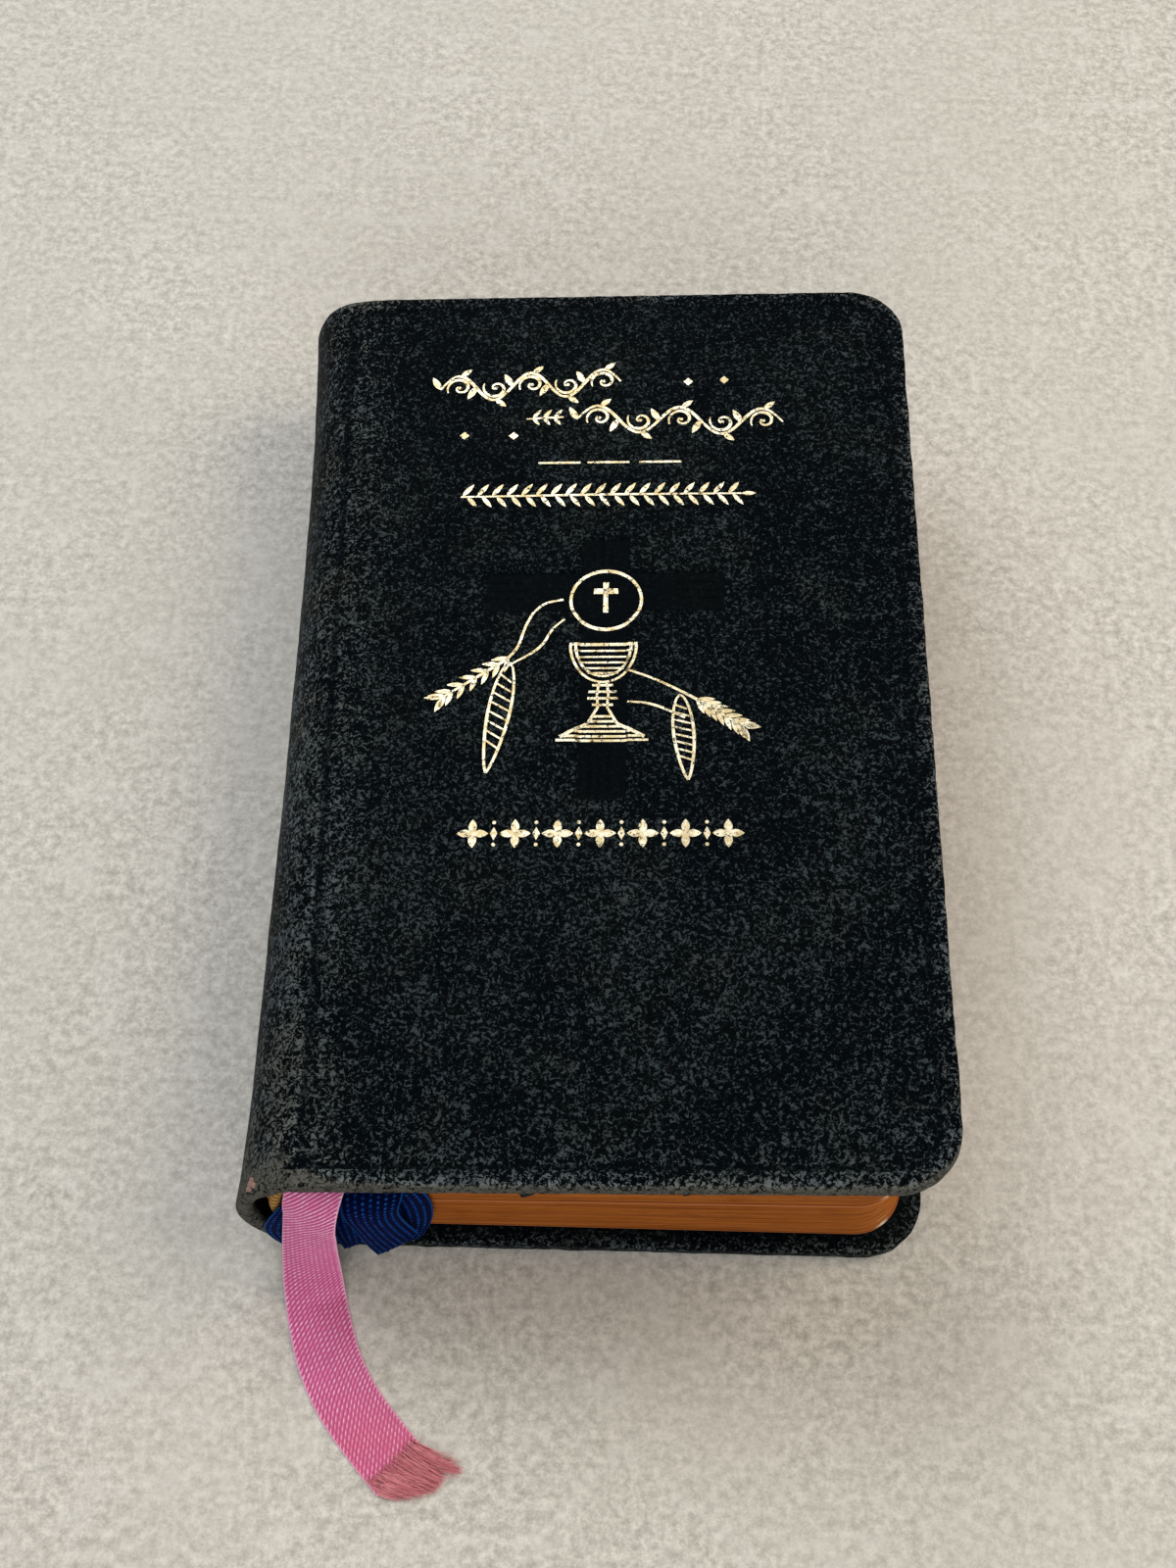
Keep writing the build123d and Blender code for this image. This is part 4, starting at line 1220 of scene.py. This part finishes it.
def leaf_outline(left, right):
    """Plan of the leaves: points and outward directions, from the spine's tail corner round."""
    points, outward = [], []
    for t in np.linspace(0, 1, 34)[:-1]:
        points.append((left + t * (right - BLOCK_CORNER - left), -BLOCK_HALF))
        outward.append((0, -1))
    for sign in (-1, 1):
        turns = np.linspace(-90, 0, 9) if sign < 0 else np.linspace(0, 90, 9)
        for turn in np.radians(turns):
            c, s = math.cos(turn), math.sin(turn)
            points.append((right - BLOCK_CORNER + BLOCK_CORNER * c,
                           sign * (BLOCK_HALF - BLOCK_CORNER) + BLOCK_CORNER * s))
            outward.append((c, s))
        if sign < 0:
            for y in np.linspace(-BLOCK_HALF + BLOCK_CORNER, BLOCK_HALF - BLOCK_CORNER, 50)[1:-1]:
                points.append((right, y))
                outward.append((1, 0))
    for t in np.linspace(1, 0, 34)[1:]:
        points.append((left + t * (right - BLOCK_CORNER - left), BLOCK_HALF))
        outward.append((0, 1))
    for y in np.linspace(BLOCK_HALF, -BLOCK_HALF, SPINE_POINTS + 2)[1:-1]:
        points.append((left, y))
        outward.append((-1, 0))
    return np.array(points), np.array(outward, float)


def section_piece(number):
    """One gathering of thin leaves; number counts from the rear of the book."""
    low_lift = GUTTER_GAP if number == HALF_SECTIONS else 0.03
    high_drop = GUTTER_GAP if number == HALF_SECTIONS - 1 else 0.03
    if number == SECTIONS - 3:
        high_drop = RIBBON_GAP
    low_share, high_share = number / SECTIONS, (number + 1) / SECTIONS
    left = max(back_x(block_height(JOINT_X, low_share)), back_x(block_height(JOINT_X, high_share)))
    fold = 0.42 * (block_height(left, high_share) - block_height(left, low_share) - low_lift - high_drop)
    loops = []
    for strip in range(LEAVES_SHOWN):
        stands_in = abs(grains.normal(0.03, 0.045)) + (0.05 if strip in (0, LEAVES_SHOWN - 1) else 0.0)
        seed = grains.uniform(0, 40)
        for edge in (0.08, 0.92):
            t = (strip + edge) / LEAVES_SHOWN
            share = low_share + t * (high_share - low_share)
            right = BLOCK_FORE - HOLLOW * (1 - (2 * share - 1) ** 2)
            around = fold * (1 - math.sqrt(max(0.0, 1 - (2 * t - 1) ** 2)))
            plan, outward = leaf_outline(left + around, right)
            flat = np.concatenate([plan, np.full((len(plan), 1), seed)], axis=1)
            ragged = stands_in + 0.05 * lumpy(flat, 0.12) + 0.02 * lumpy(flat, 0.8)
            spine_side = outward[:, 0] < -0.5
            plan = plan - outward * np.where(spine_side, 0.0, np.maximum(ragged, 0.0))[:, None]
            low = block_height(plan[:, 0], low_share) + low_lift
            high = block_height(plan[:, 0], high_share) - high_drop
            sag = 0.018 * lumpy(flat * (1, 1, 0) + (0, 0, number * 3 + t), 0.10) * math.sin(math.pi * t)
            loops.append(np.column_stack([plan, low + (t + sag) * (high - low)]))
    count = len(loops[0])
    at_spine = [int(j >= count - SPINE_POINTS - 1) for j in range(count)]
    faces, slots = tube_faces(len(loops), count), at_spine * (len(loops) - 1) + [1, 1]
    name = f"section_{SECTIONS - number:02d}"
    piece = mesh_piece(name + "_leaves", np.concatenate(loops), faces, [EDGES, SECTION_PAGE], slots=slots,
                       smooth=False)
    settle(piece, BLOCKS[number >= HALF_SECTIONS], "leaves", name)


for section in range(SECTIONS):
    section_piece(section)


def gutter_sheet():
    """The sheet folded into the opening, which keeps the spine's leather out of sight there."""
    along, normal = np.array((math.cos(GUTTER_LEAN), 0, math.sin(GUTTER_LEAN))), np.array(GUTTER_NORMAL)
    stands_off, fold_at, half_thickness = 0.31, 2.4, 0.015
    straight = np.linspace(10.0, fold_at, 14)
    turns = np.linspace(math.pi / 2, 3 * math.pi / 2, 17)[1:-1]
    line = [(d, stands_off) for d in straight]
    line += [(fold_at + stands_off * math.cos(t), stands_off * math.sin(t)) for t in turns]
    line = np.array(line + [(d, -stands_off) for d in straight[::-1]])
    ahead = unit(np.gradient(line, axis=0))
    across = np.stack([-ahead[:, 1], ahead[:, 0]], axis=1)
    y_lines = np.linspace(-BLOCK_HALF + 0.3, BLOCK_HALF - 0.3, 40)
    rows, columns = len(line), len(y_lines)
    layers = []
    for sign in (1, -1):
        d, height = (line + sign * half_thickness * across).T
        middle = np.array(GUTTER_AXIS) + d[:, None] * along + height[:, None] * normal
        layer = np.repeat(middle[:, None], columns, axis=1)
        layer[..., 1] = y_lines
        layers.append(layer.reshape(-1, 3))
    faces = grid_faces(rows, columns) + grid_faces(rows, columns, rows * columns, flip=True)
    faces += rim_faces(rows, columns)
    piece = mesh_piece("middle_folded_sheet", np.concatenate(layers), faces, [SECTION_PAGE])
    over_gutter(piece, 0.3, "leaves")


gutter_sheet()

# ---- headband and tailband: thread wound over a cord, along the backs of the sections
BAND_SPAN = math.asin((BACK_CENTRE[1] - BLOCK_BOTTOM) / BACK_RADIUS) * 0.93


def wound_band(name, y, nodes_replaced):
    """A cord with thread wound round it in two shades, along the rounded back."""
    turns = np.linspace(-BAND_SPAN, BAND_SPAN, 330)
    radius = BACK_RADIUS + 0.1
    points, tint, sides = [], [], 12
    for k, turn in enumerate(turns):
        outward = np.array((-math.cos(turn), 0, math.sin(turn)))
        centre = np.array((BACK_CENTRE[0], y, BACK_CENTRE[1])) + outward * radius
        size = 0.56 + 0.045 * math.cos(2 * math.pi * k / 6)
        taper = min(1.0, 0.35 + 0.065 * min(k, len(turns) - 1 - k))
        for side in range(sides):
            around = 2 * math.pi * side / sides
            reach = outward * math.cos(around) + np.array((0, math.sin(around), 0))
            points.append(centre + taper * size * reach)
            tint.append(float((k // 6) % 4 < 2))
    piece = mesh_piece(name, points, tube_faces(len(turns), sides), [BAND], marks={"tint": tint})
    over_gutter(piece, SPINE_BEND, "headband_silk", *nodes_replaced)


wound_band("headband_wound", BLOCK_HALF + 0.66, ("front_headband", "rear_headband"))
wound_band("tailband_wound", -BLOCK_HALF - 0.66, ("front_tailband", "rear_tailband"))


# ---- the ribbons inside the book, and the blue one's crumpled tail
def inside_ribbon(name, node, x, share, lift, weave, material, slot):
    """A ribbon's straight run between the leaves, at a share of their height."""
    along = np.arange(0, 2 * BLOCK_HALF - 1.0, 0.2)
    y = BLOCK_HALF - 1.0 - along
    line = np.stack([0 * y + x, y, 0 * y + block_height(x, share) + lift], axis=1)
    sides = np.tile((math.cos(COVER_LEAN * share), 0, math.sin(COVER_LEAN * share)), (len(y), 1))
    piece = ribbon_piece(name, line, sides, along, RIBBON_WIDTH, weave, 0.05, material, 32, thickness=0.16)
    settle(piece, "front_block", slot, node)


BLUE_SHARE = (SECTIONS - 2) / SECTIONS
inside_ribbon("pink_ribbon_inside", "pink_ribbon", PINK_X, 1.0, 0.2, twill, PINK, "pink_satin")
inside_ribbon("blue_ribbon_inside", "blue_ribbon", BLUE_X, BLUE_SHARE, -0.2, ribs, BLUE, "blue_satin")


def crumpled_strip(name, left_route, right_route, curl, *stands_for):
    """A short folded stretch of the blue ribbon between the routes of its two edges."""
    count = 130
    edges = []
    for key, route in (("left", left_route), ("right", right_route)):
        raw, _ = evenly(spline_points(route, f"{name}_{key}"), 0.02)
        edges.append(raw[np.linspace(0, len(raw) - 1, count).round().astype(int)])
    line = (edges[0] + edges[1]) / 2
    sides = edges[1] - edges[0]
    width = float(np.linalg.norm(sides, axis=1).max())
    along = np.concatenate([[0], np.cumsum(np.linalg.norm(np.diff(line, axis=0), axis=1))])
    narrow = np.linalg.norm(sides, axis=1) / width
    piece = ribbon_piece(name, line, sides, along, width, ribs, 0.12, BLUE, 52,
                         curl=curl * np.sin(np.pi * (0.15 + 0.7 * along / along[-1])), narrow=narrow)
    settle(piece, "front_block", "blue_satin", *stands_for)


BLUE_Z = block_height(BLUE_X, BLUE_SHARE) - 0.2
crumpled_strip(
    "blue_ribbon_tail_front",
    [(-24.1, -52.0, BLUE_Z), (-24.0, -54.6, BLUE_Z), (-23.6, -55.2, 12.2), (-23.0, -55.3, 9.8),
     (-22.3, -55.5, 6.6), (-21.7, -55.6, 4.2), (-21.1, -55.6, 2.4)],
    [(-17.9, -52.0, BLUE_Z + 0.3), (-18.1, -53.8, BLUE_Z + 0.3), (-18.5, -54.5, 13.6), (-18.2, -54.6, 11.4),
     (-17.7, -54.5, 9.2), (-17.3, -54.4, 7.8), (-16.9, -54.4, 6.6)], 0.5, "blue_ribbon_tail")
crumpled_strip(
    "blue_ribbon_tail_loop",
    [(-20.6, -52.4, 13.9), (-20.3, -53.0, 12.4), (-19.9, -53.3, 9.0), (-19.6, -53.6, 6.0),
     (-19.4, -54.2, 3.6)],
    [(-17.2, -52.3, 15.9), (-15.9, -52.7, 14.2), (-15.3, -53.1, 9.8), (-15.7, -53.5, 5.4),
     (-17.0, -54.1, 3.4)], 0.6)
crumpled_strip(
    "blue_ribbon_tail_under",
    [(-25.8, -53.6, 13.0), (-25.6, -54.3, 9.0), (-25.2, -54.6, 5.0), (-24.6, -54.7, 1.5)],
    [(-22.4, -53.6, 13.0), (-22.3, -54.3, 10.0), (-22.3, -54.6, 7.0), (-22.5, -54.7, 4.4)], 0.2)
crumpled_strip(
    "blue_ribbon_tail_fold",
    [(-30.0, -53.7, 12.2), (-31.2, -54.2, 10.0), (-32.3, -54.4, 6.4), (-31.7, -54.5, 3.4),
     (-30.7, -54.5, 1.4)],
    [(-26.4, -53.8, 12.2), (-26.3, -54.3, 9.6), (-26.2, -54.5, 6.4), (-26.3, -54.5, 3.6),
     (-26.4, -54.5, 1.4)], 0.3)

# ---- the CAD parts that show as they are
SHOWN = {"board": (BOARD, "board"), "pastedown": (ENDPAPER, "endpaper"), "flyleaf": (ENDPAPER, "endpaper"),
         "middle_leaf": (PAGE, "leaves"), "spine_lining": (KRAFT, "kraft_paper"), "mull": (LINEN, "linen"),
         "sewing_tapes": (LINEN, "linen")}
for name, node in nodes.items():
    for key, (material, slot) in SHOWN.items():
        if key in name and not node.hide_render:
            node.data.materials.clear()
            node.data.materials.append(material)


# ---- floor and light
def floor_material():
    """Pale speckled stone."""
    n = Nodes("floor", rest=False)
    fine, patches, broad = n.noise(0.9, 9.0, 0.80), n.noise(0.20, 4.0, 0.62), n.noise(0.030, 3.0, 0.55)
    color = n.mix(n.ramp(fine, 0.30, 0.70), (0.34, 0.320, 0.280), (0.77, 0.742, 0.68))
    color = n.mix(n.ramp(patches, 0.50, 0.66, 0.0, 0.35), color, (0.72, 0.70, 0.655))
    color = n.mix(n.ramp(broad, 0.35, 0.65, 0.0, 0.4), color, (0.56, 0.535, 0.480))
    return n.finish(color, 0.62, n.bump(fine, 0.06, 0.35))


floor_mesh = bpy.data.meshes.new("floor")
FLOOR_REACH = 3.0                   # metres from the middle of the floor to its edges
floor_corners = [(x * FLOOR_REACH, y * FLOOR_REACH, 0) for x, y in ((-1, -1), (1, -1), (1, 1), (-1, 1))]
floor_mesh.from_pydata(floor_corners, [], [(0, 1, 2, 3)])
floor_mesh.materials.append(floor_material())
floor = bpy.data.objects.new("floor", floor_mesh)
bpy.context.scene.collection.objects.link(floor)


def area_light(name, at, towards, size, watts, color):
    light = bpy.data.lights.new(name, "AREA")
    light.shape, light.size, light.size_y = "RECTANGLE", size[0], size[1]
    light.energy, light.color = watts, color
    lamp = bpy.data.objects.new(name, light)
    lamp.location = at
    lamp.rotation_mode = "QUATERNION"
    lamp.rotation_quaternion = (Vector(towards) - Vector(at)).to_track_quat("-Z", "Y")
    bpy.context.scene.collection.objects.link(lamp)


area_light("window", (0.50, 0.10, 0.50), (0, 0, 0), (0.50, 0.45), 2.7, (1.0, 0.90, 0.74))
area_light("ceiling", (-0.35, 0.60, 0.75), (0, 0.08, 0), (0.9, 0.6), 6.6, (0.97, 0.99, 1.0))
area_light("room", (0.0, -0.60, 0.36), (0, -0.03, 0), (0.6, 0.3), 2.0, (1.0, 0.98, 0.96))
world = bpy.data.worlds.new("soft_room")
world.use_nodes = True
world.node_tree.nodes["Background"].inputs["Color"].default_value = (0.86, 0.89, 0.93, 1)
world.node_tree.nodes["Background"].inputs["Strength"].default_value = 0.20
bpy.context.scene.world = world
bpy.context.scene.view_settings.view_transform = "Standard"
